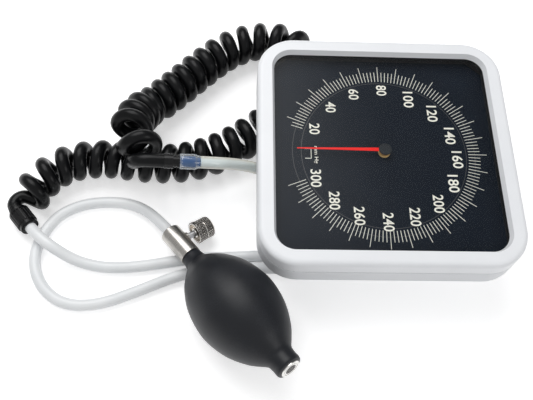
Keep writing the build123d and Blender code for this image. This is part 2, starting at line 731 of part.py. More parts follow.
def sector_gear():
    """Toothed sector with the tail that the rocker pushes."""
    pitch_r = MODULE * SECTOR_TEETH / 2
    step = 360.0 / SECTOR_TEETH
    root_r = pitch_r - TOOTH_DOWN
    first = MESH_ANGLE + step * 1.5
    angles = [first - step * i for i in range(SECTOR_CUT_TEETH + 1)]
    rim_corners = [(0, 0)]
    edge_angles = [angles[0] + step, (angles[0] + angles[-1]) / 2, angles[-1] - step]
    for angle in edge_angles:
        rim_corners.append((2 * pitch_r * cos(radians(angle)), 2 * pitch_r * sin(radians(angle))))
    fan = Polygon(*rim_corners, align=None)
    rim = (Circle(root_r) - Circle(root_r - SECTOR_RIM_W)) & fan
    spokes = Sketch() + [Rot(0, 0, a) * Pos(root_r / 2, 0) * Rectangle(root_r - SPOKE_W / 2, SPOKE_W) for a in
                         (edge_angles[0] - SPOKE_TURN, edge_angles[2] + SPOKE_TURN)]
    outline = rim + spokes + Circle(SECTOR_HUB_R)
    for angle in angles:
        outline += tooth(pitch_r, angle)
    outline += Pos(0, -TAIL_LENGTH / 2) * Rectangle(2 * TAIL_R, TAIL_LENGTH)
    outline += Pos(0, -TAIL_LENGTH) * Circle(TAIL_R)
    body = extrude(outline, SECTOR_T)
    body += rod(TAIL_PIN_R, -TAIL_PIN_LEN, SECTOR_T / 2, 0, -TAIL_LENGTH)
    body -= rod(ARBOR_R, 0, SECTOR_T)
    return Pos(PIVOT_X, PIVOT_Y, SECTOR_Z) * body


def sector_arbor():
    """Arbor of the sector with a pivot at each end."""
    plate_top = MOVE_Z + MOVE_T
    arbor = rod(PIVOT_R, MOVE_Z, BRIDGE_Z + BRIDGE_T, PIVOT_X, PIVOT_Y)
    return arbor + rod(ARBOR_R, plate_top + SHOULDER_GAP, BRIDGE_Z - SHOULDER_GAP, PIVOT_X, PIVOT_Y)


def pointer_staff():
    """Staff with the pinion and the spring collet."""
    plate_top = MOVE_Z + MOVE_T
    staff = rod(STAFF_FOOT_R, MOVE_Z, plate_top + 2 * SHOULDER_GAP)
    staff += rod(STAFF_R, plate_top + SHOULDER_GAP, POINTER_Z + POINTER_T)
    pitch_r = MODULE * PINION_TEETH / 2
    outline = Circle(pitch_r - TOOTH_DOWN)
    step = 360.0 / PINION_TEETH
    for i in range(PINION_TEETH):
        outline += tooth(pitch_r, MESH_ANGLE + 180 + step * i)
    pinion_z = SECTOR_Z + (SECTOR_T - PINION_T) / 2
    staff += extrude(Pos(0, 0, pinion_z) * outline, PINION_T)
    return staff + rod(COLLET_R, SPRING_Z - COLLET_H / 2, SPRING_Z + COLLET_H / 2)


def hairspring():
    """Flat spiral of half circles between the collet and the stud."""
    edges = []
    step = SPRING_PITCH / 2
    side = -1
    here = side * SPRING_R_IN
    for i in range(2 * SPRING_TURNS):
        reach = SPRING_R_IN + step * (i + 1)
        there = -side * reach
        middle = ((here + there) / 2, side * abs(there - here) / 2)
        edges.append(ThreePointArc((here, 0), middle, (there, 0)))
        here = there
        side = -side
    path = Pos(0, 0, SPRING_Z) * Wire([e.edge() for e in edges])
    start = Plane(origin=path @ 0, x_dir=(1, 0, 0), z_dir=path % 0)
    width, height = SPRING_WIRE
    return sweep(start * Rectangle(width, height), path=path)


def hairspring_stud():
    """Stud that holds the outer end of the spring."""
    x = spring_end_x()
    low = SPRING_Z - SPRING_WIRE[1]
    stud = rod(STUD_R, low, BRIDGE_Z, x, 0)
    return stud - block(x - STUD_R, x + SPRING_WIRE[0], -STUD_R, STUD_R, low, SPRING_Z + SPRING_WIRE[1])


def spring_end_x():
    """Where the spring's outer end lies."""
    return -(SPRING_R_IN + SPRING_PITCH * SPRING_TURNS)


# Pointer

def pointer():
    """Pointer with its tip over the low end of the scale."""
    wide, narrow = POINTER_HALF_W
    blade = Polygon((0, -wide), (0, wide), (-POINTER_TIP_R, narrow), (-POINTER_TIP_R, -narrow), align=None)
    outline = blade + Circle(HUB_R) - Circle(STAFF_R)
    return extrude(Pos(0, 0, POINTER_Z) * outline, POINTER_T)


def pointer_hub():
    """Brass hub under the pointer."""
    return ring(HUB_R, STAFF_R, POINTER_Z - HUB_H, POINTER_Z)


def pointer_cap():
    """Dark cap over the pointer's middle."""
    low = POINTER_Z + POINTER_T
    cap = rod(CAP_R, low, low + CAP_H)
    return fillet(cap.edges().group_by(Axis.Z)[-1], CAP_H * 0.6)


def dial_bushing():
    """Bushing where the staff passes the dial."""
    bush = rod(BUSH_SLEEVE_R, SEAM_Z, PLATE_TOP) + rod(BUSH_R, PLATE_TOP, PLATE_TOP + BUSH_FLANGE_T)
    bush = chamfer(bush.edges().group_by(Axis.Z)[-1], BUSH_CHAMFER)
    return bush - rod(STAFF_R + RUN_CLEAR, SEAM_Z, PLATE_TOP + BUSH_FLANGE_T)


# Coiled hose

def at_distance(table, distance):
    """Value of a table of (distance, value) rows, straight between rows."""
    for (s0, v0), (s1, v1) in zip(table, table[1:]):
        if distance <= s1:
            return v0 + (v1 - v0) * (distance - s0) / (s1 - s0)
    return table[-1][1]


def route_samples():
    """Points along the clamped quadratic spline of the route, with distance and turns."""
    ends = [Vector(*p) for p in HOSE_ROUTE]
    last = len(ends) - 3
    points = []
    for k in range(last + 1):
        start = ends[0] if k == 0 else (ends[k] + ends[k + 1]) / 2
        stop = ends[-1] if k == last else (ends[k + 1] + ends[k + 2]) / 2
        for i in range(ROUTE_STEPS):
            t = i / ROUTE_STEPS
            points.append(start * (1 - t) ** 2 + ends[k + 1] * (2 * t * (1 - t)) + stop * t ** 2)
    points.append(ends[-1])
    rows = [(0.0, 0.0, points[0])]
    for here in points[1:]:
        distance, turns, before = rows[-1]
        step = (here - before).length
        pitch = at_distance(HOSE_PITCH, distance + step / 2)
        rows.append((distance + step, turns + step / pitch, here))
    return rows


def coil_point(rows, turn):
    """Point of the coil at a turn: a circle about the route, square to its level heading."""
    i = next(k for k in range(1, len(rows)) if rows[k][1] >= turn)
    (s0, n0, p0), (s1, n1, p1) = rows[i - 1], rows[i]
    share = (turn - n0) / (n1 - n0)
    centre = p0 + (p1 - p0) * share
    ahead = rows[min(i + 1, len(rows) - 1)][2] - rows[max(i - 2, 0)][2]
    left = Vector(-ahead.Y, ahead.X, 0).normalized()
    angle = -2 * pi * (turn + HOSE_PHASE)
    radius = at_distance(HOSE_COIL_R, s0 + (s1 - s0) * share)
    return centre + left * (radius * cos(angle)) + Vector(0, 0, radius * sin(angle))


def hose_nodes():
    """Points and directions from the union nut to the gauge-end fitting."""
    axis = Vector(*UNION_AXIS).normalized()
    inside = Vector(*UNION_CENTRE) - axis * (UNION_LEN / 2 - UNION_SOCKET)
    nodes = [(inside, axis * -1), (inside - axis * HOSE_STRAIGHT, axis * -1)]
    nodes += [(Vector(*p), Vector(*d).normalized()) for p, d in HOSE_LEAD]
    rows = route_samples()
    turn = FIRST_TURN
    while turn <= LAST_TURN:
        ahead = coil_point(rows, turn + TURN_STEP) - coil_point(rows, turn - TURN_STEP)
        nodes.append((coil_point(rows, turn), ahead.normalized()))
        turn += 0.5
    fitting = Vector(*FITTING_START)
    out = Vector(*FITTING_AXIS).normalized()
    straight_start = fitting - out * HOSE_STRAIGHT
    fold = [coil_point(rows, LAST_TURN)] + [Vector(*p) for p in HOSE_FOLD] + [straight_start]
    for before, here, after in zip(fold, fold[1:], fold[2:]):
        nodes.append((here, (after - before).normalized()))
    nodes.append((straight_start, out))
    nodes.append((fitting + out * HOSE_INSERT, out))
    return nodes


def biarc(start, start_dir, stop, stop_dir):
    """Two tangent arcs between two points, or a line where they are in line."""
    gap = stop - start
    if gap.normalized().dot(start_dir) > 0.99999:
        return [Edge.make_line(start, stop)]
    spread = 1 - start_dir.dot(stop_dir)
    along = gap.dot(start_dir + stop_dir)
    reach = (sqrt(along ** 2 + 2 * spread * gap.dot(gap)) - along) / (2 * spread)
    near = start + start_dir * reach
    far = stop - stop_dir * reach
    joint = (near + far) / 2
    return [Edge.make_tangent_arc(start, start_dir, joint),
            Edge.make_tangent_arc(joint, (far - near).normalized(), stop)]


def coil_hose():
    """The curly hose: one unbroken bar swept along biarcs."""
    nodes = hose_nodes()
    edges = []
    for (p0, d0), (p1, d1) in zip(nodes, nodes[1:]):
        edges += biarc(p0, d0, p1, d1)
    radii = [e.radius for e in edges if e.geom_type == GeomType.CIRCLE]
    print("coil arcs", len(edges), "least radius", round(min(radii), 2))
    path = Wire(edges)
    report_gap(edges)
    return swept_tube(path, HOSE_D / 2)


def report_gap(edges):
    """Print the least gap of the hose to itself and to the surface, measured on points."""
    samples = []
    travelled = 0.0
    for edge in edges:
        for i in range(4):
            samples.append((travelled + edge.length * i / 4, edge @ (i / 4)))
        travelled += edge.length
    least = 1e9
    for i, (s0, p0) in enumerate(samples):
        for s1, p1 in samples[i + 1:]:
            if s1 - s0 > 3 * HOSE_D:
                least = min(least, (p1 - p0).length)
    print("coil length", round(travelled, 1), "least gap to itself", round(least - HOSE_D, 2),
          "lowest", round(min(p.Z for _, p in samples) - HOSE_D / 2, 2))


# Union nut

def union_plane():
    """Frame of the union, +Z towards the grey tube, origin at its middle."""
    return frame_on(UNION_CENTRE, UNION_AXIS)


def union_body():
    """Inner body that both hoses push into."""
    half = UNION_LEN / 2
    body = rod(UNION_R, -half, half) + rod(UNION_COLLAR_R, -half, -half + UNION_COLLAR_T)
    body -= rod(HOSE_D / 2, -half, -half + UNION_SOCKET)
    body -= rod(GREY_R, half - UNION_SOCKET, half)
    body -= rod(PORT_BORE_R, -half, half)
    return union_plane().location * body


def union_nut():
    """Ribbed ring nut round the union body."""
    half = UNION_LEN / 2
    low = -half + UNION_COLLAR_T + LOOSE_CLEAR
    high = half - NUT_SETBACK
    step = high - NUT_STEP_LEN
    nut = rod(NUT_R, low, step)
    nut = chamfer(nut.edges().group_by(Axis.Z)[-1], NUT_CHAMFER)
    nut += rod(NUT_STEP_R, step - FUSE, high)
    for i in range(NUT_RIBS):
        angle = 360.0 / NUT_RIBS * i
        flute = Rot(0, 0, angle) * Pos(NUT_R + NUT_RIB_R - NUT_FLUTE_DEPTH, 0, (low + NUT_BAND + step) / 2)
        nut -= flute * Cylinder(NUT_RIB_R, step - low - NUT_BAND)
    nut -= rod(UNION_R + RUN_CLEAR, low, high)
    return union_plane().location * nut


# Gauge-end fitting

def fitting_plane():
    """Frame of the gauge-end fitting, +Z towards the clear tube."""
    return frame_on(FITTING_START, FITTING_AXIS)


def hose_ferrule():
    """Crimped band round the end of the coiled hose."""
    band = ring(FERRULE_R, HOSE_D / 2, 0, FERRULE_LEN)
    for at in CRIMPS:
        z = FERRULE_LEN * at
        band -= ring(FERRULE_R + FUSE, FERRULE_R - CRIMP_DEPTH, z - CRIMP_W / 2, z + CRIMP_W / 2)
    return fitting_plane().location * band


def hose_end_neck():
    """Ridged neck between the ferrule and the barb."""
    neck = rod(HOSE_D / 2, HOSE_INSERT, FERRULE_LEN) + rod(NECK_R, FERRULE_LEN, NECK_END)
    for at in NECK_RIDGES:
        z = FERRULE_LEN + (NECK_END - FERRULE_LEN) * at
        neck += rod(NECK_RIDGE_R, z - NECK_RIDGE_W / 2, z + NECK_RIDGE_W / 2)
    return fitting_plane().location * (neck - rod(BARB_BORE_R, HOSE_INSERT, NECK_END))


def hose_barb():
    """Blue barb inside the clear tube."""
    tip_end = NECK_END + BARB_LEN + BARB_TIP_LEN
    barb = rod(BARB_R, NECK_END, NECK_END + BARB_LEN) + rod(BARB_TIP_R, NECK_END, tip_end)
    return fitting_plane().location * (barb - rod(BARB_BORE_R, NECK_END, tip_end))


def clear_tube():
    """Clear tube, widened where it goes over the two barbs."""
    start = Vector(*FITTING_START)
    out = Vector(*FITTING_AXIS).normalized()
    first = start + out * NECK_END
    points = [first, first + out * CLEAR_FIRST_RUN] + [Vector(*p) for p in CLEAR_POINTS]
    port_x = PORT_FACE_X - PORT_FLANGE_T
    points += [Vector(port_x - CLEAR_LAST_RUN, 0, PORT_Z), Vector(port_x, 0, PORT_Z)]
    path = tube_path("clear tube", [tuple(p) for p in points], 2 * CLEAR_R)
    tube = swept_tube(path, CLEAR_R)
    widening = rod(CLEAR_SLEEVE_R, NECK_END, NECK_END + BARB_LEN)
    widening += Pos(0, 0, NECK_END + BARB_LEN + CLEAR_SLOPE / 2) * Cone(CLEAR_SLEEVE_R, CLEAR_R, CLEAR_SLOPE)
    tube += fitting_plane().location * widening
    barb_end = port_x - PORT_BARB_LEN
    tube += along_x(barb_end, port_x, CLEAR_SLEEVE_R)
    tube -= swept_disc(path, CLEAR_BORE_R)
    tube -= fitting_plane().location * rod(BARB_R, NECK_END, NECK_END + BARB_LEN)
    tube -= fitting_plane().location * rod(BARB_TIP_R, NECK_END, NECK_END + BARB_LEN + BARB_TIP_LEN)
    return tube - along_x(barb_end, port_x, PORT_BARB_R)


def grey_tube():
    """Grey tube between the union and the release valve."""
    axis = Vector(*UNION_AXIS).normalized()
    first = Vector(*UNION_CENTRE) + axis * (UNION_LEN / 2 - UNION_SOCKET)
    valve_axis, _ = valve_axes()
    last = Vector(*VALVE_START) + valve_axis * VALVE_SOCKET
    before_last = last - valve_axis * GREY_LAST_RUN
    second = first + axis * GREY_FIRST_RUN
    points = [tuple(first), tuple(second)] + GREY_POINTS + [tuple(before_last), tuple(last)]
    return swept_tube(tube_path("grey tube", points, 2 * GREY_R), GREY_R)


# Release valve

def valve_axes():
    """Axis of the bulb and, square to it, the axis of the knob."""
    axis = Vector(*BULB_AXIS).normalized()
    level = Vector(-axis.Y, axis.X, 0).normalized()
    upright = axis.cross(level)
    tilt = radians(KNOB_TILT)
    return axis, level * cos(tilt) - upright * sin(tilt)


def valve_plane():
    """Frame of the valve and bulb, +Z along their axis, +X along the knob's."""
    axis, across = valve_axes()
    return frame_on(VALVE_START, axis, across)


def knob_plane():
    """Frame of the knob, +Z outwards, origin on the valve's axis."""
    axis, across = valve_axes()
    return frame_on(tuple(Vector(*VALVE_START) + axis * KNOB_AT), across, axis)


def cross_rod(radius, x0, x1):
    """Cylinder across the valve, along the knob's axis."""
    return Pos((x0 + x1) / 2, 0, KNOB_AT) * Rot(0, 90, 0) * Cylinder(radius, x1 - x0)


def valve_body():
    """Nickel barrel with the tube socket, the air way and the cross bore."""
    body = rod(VALVE_R, 0, VALVE_LEN)
    body = chamfer(body.edges().group_by(Axis.Z)[0], VALVE_EDGE)
    body += rod(BULB_SPIGOT_R, VALVE_LEN, VALVE_LEN + BULB_SPIGOT_LEN)
    body -= rod(GREY_R + SOCKET_CLEAR, 0, VALVE_SOCKET)
    body -= rod(VALVE_BORE_R, VALVE_SOCKET, VALVE_LEN + BULB_SPIGOT_LEN)
    body -= cross_rod(GLAND_R, GLAND_FROM, VALVE_R + FUSE)
    body -= cross_rod(STEM_R + LOOSE_CLEAR, -FUSE, GLAND_FROM)
    return valve_plane().location * body


def valve_gland():
    """Gland ring that guides the needle."""
    gland = cross_rod(GLAND_R, GLAND_FROM, GLAND_TO) - cross_rod(STEM_R + RUN_CLEAR, GLAND_FROM, GLAND_TO)
    return valve_plane().location * gland


def valve_needle():
    """Needle with its stem, along the knob's axis."""
    shoulder = NEEDLE_FROM + NEEDLE_CONE
    stem = rod(STEM_R, shoulder, KNOB_FROM + KNOB_RECESS)
    cone = Pos(0, 0, (NEEDLE_FROM + shoulder) / 2) * Cone(NEEDLE_TIP_R, STEM_R, NEEDLE_CONE)
    return knob_plane().location * (stem + cone)


def knurled(radius, z0, z1):
    """Cylinder with fine grooves along it."""
    band = rod(radius, z0, z1)
    for i in range(KNURLS):
        angle = 360.0 / KNURLS * i
        band -= Rot(0, 0, angle) * Pos(radius + KNURL_R * 0.3, 0, (z0 + z1) / 2) * Cylinder(KNURL_R, z1 - z0)
    return band


def valve_knob():
    """Two-band knurled knob with a hollow skirt."""
    rim_top = KNOB_FROM + KNOB_RIM_T
    first_top = rim_top + KNOB_BAND
    second = first_top + KNOB_GROOVE
    second_top = second + KNOB_BAND
    knob = rod(KNOB_RIM_R, KNOB_FROM, rim_top)
    knob += knurled(KNOB_R, rim_top, first_top)
    knob += rod(KNOB_R - KNOB_GROOVE_DEPTH, first_top, second)
    knob += knurled(KNOB_R, second, second_top)
    nose = rod(KNOB_R - KNOB_NOSE_STEP, second_top, second_top + KNOB_NOSE)
    knob += chamfer(nose.edges().group_by(Axis.Z)[-1], KNOB_NOSE_CHAMFER)
    skirt = KNOB_FROM + KNOB_RECESS - KNOB_FLOOR
    knob -= ring(KNOB_RIM_R - KNOB_WALL, STEM_R + KNOB_SPINE_WALL, KNOB_FROM, skirt)
    return knob_plane().location * (knob - rod(STEM_R + RUN_CLEAR, KNOB_FROM, KNOB_FROM + KNOB_RECESS))


def outlet_flap():
    """Rubber flap over the valve's spigot."""
    z = VALVE_LEN + BULB_SPIGOT_LEN
    return valve_plane().location * rod(FLAP_R, z, z + FLAP_T)


# Bulb

def bulb_end():
    """Middle of the bulb's far end."""
    axis, _ = valve_axes()
    return Vector(*VALVE_START) + axis * (VALVE_LEN + BULB_PROFILE[-1][0])


def turned(stations):
    """Solid of revolution through (distance, radius) stations, closed by flat ends."""
    (first_z, first_r), (last_z, last_r) = stations[0], stations[-1]
    side = Spline(*[(r, z) for z, r in stations])
    ends = Polyline((last_r, last_z), (0, last_z), (0, first_z), (first_r, first_z))
    return revolve(Plane.XZ * make_face(Wire(side.edges() + ends.edges())), Axis.Z)


def bulb():
    """Hollow rubber bulb with its two necks."""
    low, high = BULB_HOLLOW
    inside = [(z, r - BULB_WALL) for z, r in BULB_PROFILE if low <= z <= high]
    body = turned(BULB_PROFILE) - turned(inside) - rod(BULB_SPIGOT_R, 0, low + FUSE)
    length = BULB_PROFILE[-1][0]
    body -= rod(INLET_R, length - INLET_LEN, length)
    body -= rod(INLET_HOLE_R, high - 2 * FUSE, length - INLET_LEN)
    return valve_plane().location * Pos(0, 0, VALVE_LEN) * body


def inlet_plane():
    """Frame at the far end of the bulb, +Z outwards."""
    axis, across = valve_axes()
    return frame_on(bulb_end(), axis, across)


def inlet_valve_body():
    """Barrel of the inlet valve with its flange, ball chamber and seat."""
    body = rod(INLET_R, -INLET_LEN, 0) + rod(INLET_FLANGE_R, 0, INLET_FLANGE_T)
    body = chamfer(body.edges().group_by(Axis.Z)[-1], INLET_EDGE)
    body -= rod(BALL_CAGE_R, -INLET_LEN, -CHAMBER_TOP)
    body -= rod(INLET_HOLE_R, -CHAMBER_TOP, INLET_FLANGE_T)
    body -= ring(*INLET_GROOVE_R, INLET_FLANGE_T - INLET_GROOVE_DEPTH, INLET_FLANGE_T)
    return inlet_plane().location * (body - rod(SCREEN_R, INLET_FLANGE_T - SCREEN_T, INLET_FLANGE_T))


def inlet_ball():
    """Loose ball, at rest just below its seat."""
    return inlet_plane().location * Pos(0, 0, ball_z()) * Sphere(BALL_R)


def ball_z():
    """Height of the ball's middle in the inlet frame, just below the edge of its seat."""
    return -CHAMBER_TOP - sqrt(BALL_R ** 2 - INLET_HOLE_R ** 2) - RUN_CLEAR


def inlet_cage():
    """Slotted disc that keeps the ball in its chamber."""
    top = ball_z() - BALL_R - BALL_TRAVEL - BALL_CAGE_GAP
    low = top - BALL_CAGE_T
    cage = rod(BALL_CAGE_R, low, top)
    hole_r, hole_at = BALL_CAGE_HOLE
    for i in range(3):
        cage -= Rot(0, 0, 120.0 * i) * rod(hole_r, low, top, hole_at, 0)
    return inlet_plane().location * cage


def inlet_screen():
    """Perforated disc on the outside of the inlet."""
    low = INLET_FLANGE_T - SCREEN_T
    disc = rod(SCREEN_R, low, INLET_FLANGE_T) - rod(SCREEN_HOLE_R, low, INLET_FLANGE_T)
    for i in range(SCREEN_HOLES):
        angle = radians(360.0 / SCREEN_HOLES * i)
        disc -= rod(SCREEN_HOLE_R, low, INLET_FLANGE_T, SCREEN_RING_R * cos(angle), SCREEN_RING_R * sin(angle))
    return inlet_plane().location * disc


PARTS = [rear_case, front_bezel, lens, lens_gasket, dial_plate, case_screws, mount_inserts, tube_port, port_nut,
         inner_hose, capsule_seat, capsule, push_pin, rocker_shaft, rocker_brackets, plate_pillars,
         movement_plate, bridge_plate, bridge_pillars, bridge_screws, staff_jewels, sector_gear, sector_arbor,
         pointer_staff, hairspring, hairspring_stud, pointer, pointer_hub, pointer_cap, dial_bushing, coil_hose,
         union_body, union_nut, hose_ferrule, hose_end_neck, hose_barb, clear_tube, grey_tube, valve_body,
         valve_gland, valve_needle, valve_knob, outlet_flap, bulb, inlet_valve_body, inlet_ball, inlet_cage,
         inlet_screen]

os.makedirs("parts", exist_ok=True)
for make in PARTS:
    save(make.__name__, make())
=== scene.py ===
import math

import bpy
from mathutils import Matrix, Vector


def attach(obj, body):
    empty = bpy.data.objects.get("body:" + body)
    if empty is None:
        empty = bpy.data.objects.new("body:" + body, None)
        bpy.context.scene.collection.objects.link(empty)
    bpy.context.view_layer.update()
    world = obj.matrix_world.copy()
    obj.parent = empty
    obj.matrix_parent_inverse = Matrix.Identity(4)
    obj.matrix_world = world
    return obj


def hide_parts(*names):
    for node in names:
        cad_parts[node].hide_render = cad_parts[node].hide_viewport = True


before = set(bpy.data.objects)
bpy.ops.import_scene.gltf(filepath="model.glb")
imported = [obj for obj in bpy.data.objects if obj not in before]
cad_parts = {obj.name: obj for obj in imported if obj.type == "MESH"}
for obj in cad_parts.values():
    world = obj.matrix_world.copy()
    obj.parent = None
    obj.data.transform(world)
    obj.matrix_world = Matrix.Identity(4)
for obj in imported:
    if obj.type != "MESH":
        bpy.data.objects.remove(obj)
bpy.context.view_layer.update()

MM = 0.001
SCENE = bpy.context.scene

# Lengths below are in millimetres, and those of the hose, tubes, valve and bulb repeat the model's

# Camera, with its focal length and image width in pixels
CAMERA_PLACE = Vector((-97.46, -233.93, 455.0))
CAMERA_RIGHT = Vector((0.9988218, -0.0059286, 0.0481642))
CAMERA_DOWN = Vector((0.0157749, -0.8989394, -0.4377889))
CAMERA_AHEAD = Vector((0.0458922, 0.4380329, -0.8977868))
FOCAL_PX = 726.0
IMAGE_WIDTH_PX = 533.0
SENSOR_WIDTH = 36.0

# Coiled hose: route of the coil's middle, then its pitch and radius by distance along it
HOSE_D = 9.0
HOSE_ROUTE = [(-238, -32, 13.4), (-231, -11, 13.4), (-213, 7, 13.4), (-186, 12, 13.4), (-156, 7, 13.5),
              (-126, 9, 14.3), (-99, 21, 14.5), (-75, 41, 14.3), (-51, 56, 14.0), (-36, 78, 14.0),
              (-41, 102, 14.0), (-60, 116, 14.0), (-84, 114, 14.6), (-104, 105, 14.6), (-123, 87, 14.6),
              (-144, 65, 14.6), (-160, 50, 15.5)]
HOSE_PITCH = [(0, 12.8), (30, 13.4), (60, 12.1), (100, 11.6), (150, 11.7), (195, 12.3), (220, 14.5),
              (275, 14.6), (310, 13.0), (360, 10.7), (400, 9.8), (470, 9.9)]
HOSE_COIL_R = [(0, 8.7), (95, 8.8), (140, 9.7), (190, 9.6), (225, 8.8), (290, 8.7), (330, 9.8),
               (470, 9.8)]
HOSE_PHASE = 0.25
FIRST_TURN = 1.25
LAST_TURN = 33.25

# Loose turns before the gauge-end fitting, a point each quarter turn
HOSE_FOLD = [(-155.8, 54.1, 24.9), (-150.8, 46.3, 18.0), (-159.0, 46.0, 8.6), (-168.6, 52.9, 18.3),
             (-161.5, 48.7, 31.2), (-153.2, 39.4, 26.0), (-162.5, 36.5, 14.5), (-173.5, 42.0, 24.5),
             (-165.7, 40.1, 35.8), (-156.2, 32.1, 31.8), (-164.5, 26.0, 21.5), (-176.5, 28.0, 31.0),
             (-167.0, 29.0, 42.0), (-156.0, 22.0, 37.0), (-162.5, 11.5, 31.0), (-169.5, 4.5, 42.0),
             (-156.0, 7.5, 50.5), (-149.0, 8.0, 37.5), (-160.0, 0.0, 32.0), (-161.5, -6.5, 43.5)]

# Bend from the union nut to the first turn, as one point and its heading
HOSE_LEAD = Vector((-237.0, -15.0, 4.7))
LEAD_HEADING = Vector((0.94, -0.342, 0.0))

# How far the smooth lines pull along their headings, and how finely they are cut
LEAD_REACH = 1.5
FOLD_REACH = 1.12
STRAIGHT_STEPS = 24
LEAD_STEPS = 20
STEPS_PER_TURN = 28
INSERT_STEPS = 6
TURN_NUDGE = 0.02
ROUTE_RESOLUTION = 30
HOSE_SIDES = 28

# Union nut, and the moulded rings on the hose next to it
HOSE_STRAIGHT = 9.0
UNION_CENTRE = Vector((-235.9, -33.3, 8.5))
UNION_AXIS = Vector((0.631, -0.754, 0.179)).normalized()
UNION_GRIP = 3.25
UNION_SOCKET_LEN = 5.0
HOSE_RINGS = 3
HOSE_RING_STEP = 1.4
HOSE_RING_H = 0.3

# Gauge-end fitting of the hose
FITTING_START = Vector((-141.9, -8.1, 47.0))
FITTING_AXIS = Vector((0.9911, 0.0424, -0.127)).normalized()
HOSE_INSERT = 5.0
NECK_END = 10.0
BARB_LEN = 10.0
BARB_TIP_LEN = 3.0

# Clear tube, wider over the barbs at its ends
CLEAR_R = 4.0
CLEAR_BORE_R = 2.6
CLEAR_SLEEVE_R = 5.0
CLEAR_SLOPE = 2.0
CLEAR_BORE_TRIM = 0.02
CLEAR_SIDES = 32
SLEEVE_SLOT = 1
CORE_SLOT = 2
CLEAR_RESOLUTION = 16
CLEAR_FIRST_RUN = 20.0
CLEAR_POINTS = [(-99.5, -2.8, 34.8), (-88.0, 0.8, 25.8), (-77.0, 2.0, 17.8), (-67.0, 1.2, 11.8),
                (-57.5, 0.0, 8.5), (-44.2, 0.0, 8.5)]
PORT_BARB_LEN = 7.0

# Grey tube from the union nut to the valve
GREY_BEVEL_STEPS = 10
GREY_R = 3.8
GREY_FIRST_RUN = 7.0
GREY_POINTS = [(-222.5, -48.2, 12.7), (-214.0, -54.4, 12.4), (-202.5, -60.0, 6.8), (-190.4, -63.4, 4.0),
               (-175.9, -65.3, 4.0), (-157.9, -63.9, 4.0), (-139.7, -60.7, 4.0), (-122.1, -57.7, 4.0),
               (-95.0, -56.4, 4.0), (-72.0, -55.2, 4.0), (-46.0, -55.9, 4.0), (-18.0, -55.6, 4.0),
               (8.0, -53.6, 4.0), (24.0, -43.5, 4.0), (37.0, -30.6, 4.0), (50.2, -15.5, 4.0),
               (71.6, -14.6, 4.0), (87.3, -29.2, 4.0), (87.7, -50.7, 4.0), (72.7, -66.0, 4.0),
               (50.0, -65.7, 4.0), (27.0, -64.7, 4.0), (0.0, -64.2, 4.0), (-30.0, -65.0, 4.0),
               (-62.0, -64.0, 4.0), (-92.0, -64.2, 3.9), (-109.0, -65.2, 3.9), (-124.9, -67.6, 3.9),
               (-140.5, -73.0, 4.0), (-158.0, -80.9, 4.0), (-182.0, -90.4, 4.0), (-203.0, -91.0, 4.0),
               (-218.0, -81.5, 4.0), (-226.6, -65.8, 4.0), (-226.6, -48.6, 4.0), (-216.8, -29.1, 4.0),
               (-201.5, -20.2, 4.0), (-186.0, -17.4, 4.0), (-169.5, -18.2, 4.4), (-156.5, -23.8, 6.4)]
GREY_LAST_RUN = 13.0

# Valve, knob and bulb, with the bulb's (distance, radius) rows from the valve's end
VALVE_START = Vector((-138.5, -43.0, 12.1))
BULB_AXIS = Vector((0.6045, -0.7661, 0.2170)).normalized()
VALVE_LEN = 24.2
VALVE_SOCKET = 4.0
KNOB_AXIS = Vector((0.7957, 0.5704, -0.2029)).normalized()
KNOB_ALONG = 9.5
KNOB_PLACE = VALVE_START + BULB_AXIS * KNOB_ALONG
KNOB_R = 7.2
KNOB_KNURLS = 36
KNOB_BEVEL = 0.35
BULB_LEN = 100.0
SCREEN_R = 3.6
BULB_SIDES = 128
BULB_REACH = 1.0
BULB_ROW_STEPS = 6
BULB_PROFILE = [(0.0, 6.0), (0.6, 6.6), (4.0, 7.1), (7.2, 8.0), (9.5, 10.0), (13.0, 13.4), (20.0, 18.8),
                (32.0, 24.4), (48.0, 27.2), (60.0, 26.0), (70.0, 22.9), (80.0, 17.6), (86.5, 12.5),
                (89.5, 9.9), (91.5, 8.9), (95.0, 8.5), (98.2, 8.5), (99.6, 8.1), (100.1, 7.2)]

# Painted shade: a thin dark line in the groove between the front and the rear case
SEAM_Z = 47.1
SEAM_HALF = 82.38
SEAM_CORNER = 24.8
SEAM_LINE = 0.25
SEAM_STEPS = 12

# Scale on the dial, with its readings in mm Hg
DIAL_TOP = 48.5
PRINT_THICK = 0.03
ZERO_DEGREES = 180.0
DEGREES_PER_MM_HG = 1.127
SCALE_START = 16
SCALE_TOP = 300
MARK_EVERY = 2
LONG_MARK_EVERY = 10
MARK_INNER = 55.5
MARK_SHORT = 63.2
MARK_LONG = 67.75
MARK_WIDTH = 0.42
DIAL_RINGS = (54.0, 59.7)
RING_WIDTH = 0.4
RING_THICK = 0.015
RING_STEPS = 240

# Bracket round zero: near and far ends, then top and low sides
ZERO_MARK = (-47.6, -51.6, 1.9, -5.2)
ZERO_MARK_WIDTH = 0.5

# Numerals by their middles, and the unit
NUMERAL_H = 6.9
DIGIT_W = 4.35
DIGIT_GAP = 0.4
STROKE = 0.013
LETTER_RESOLUTION = 4
UNIT_H = 3.2
UNIT_W = 12.8
UNIT_PLACE = (-44.6, -2.5)
NUMERAL_PLACES = {20: (-44.8, 17.0), 40: (-33.4, 34.2), 60: (-17.3, 44.8), 80: (1.8, 48.5),
                  100: (19.7, 41.6), 120: (34.8, 30.7), 140: (44.9, 13.6), 160: (47.9, -4.3),
                  180: (43.2, -21.9), 200: (32.0, -36.4), 220: (16.2, -45.7), 240: (-0.9, -49.5),
                  260: (-18.8, -45.6), 280: (-34.0, -35.2), 300: (-45.1, -19.6)}


# Camera

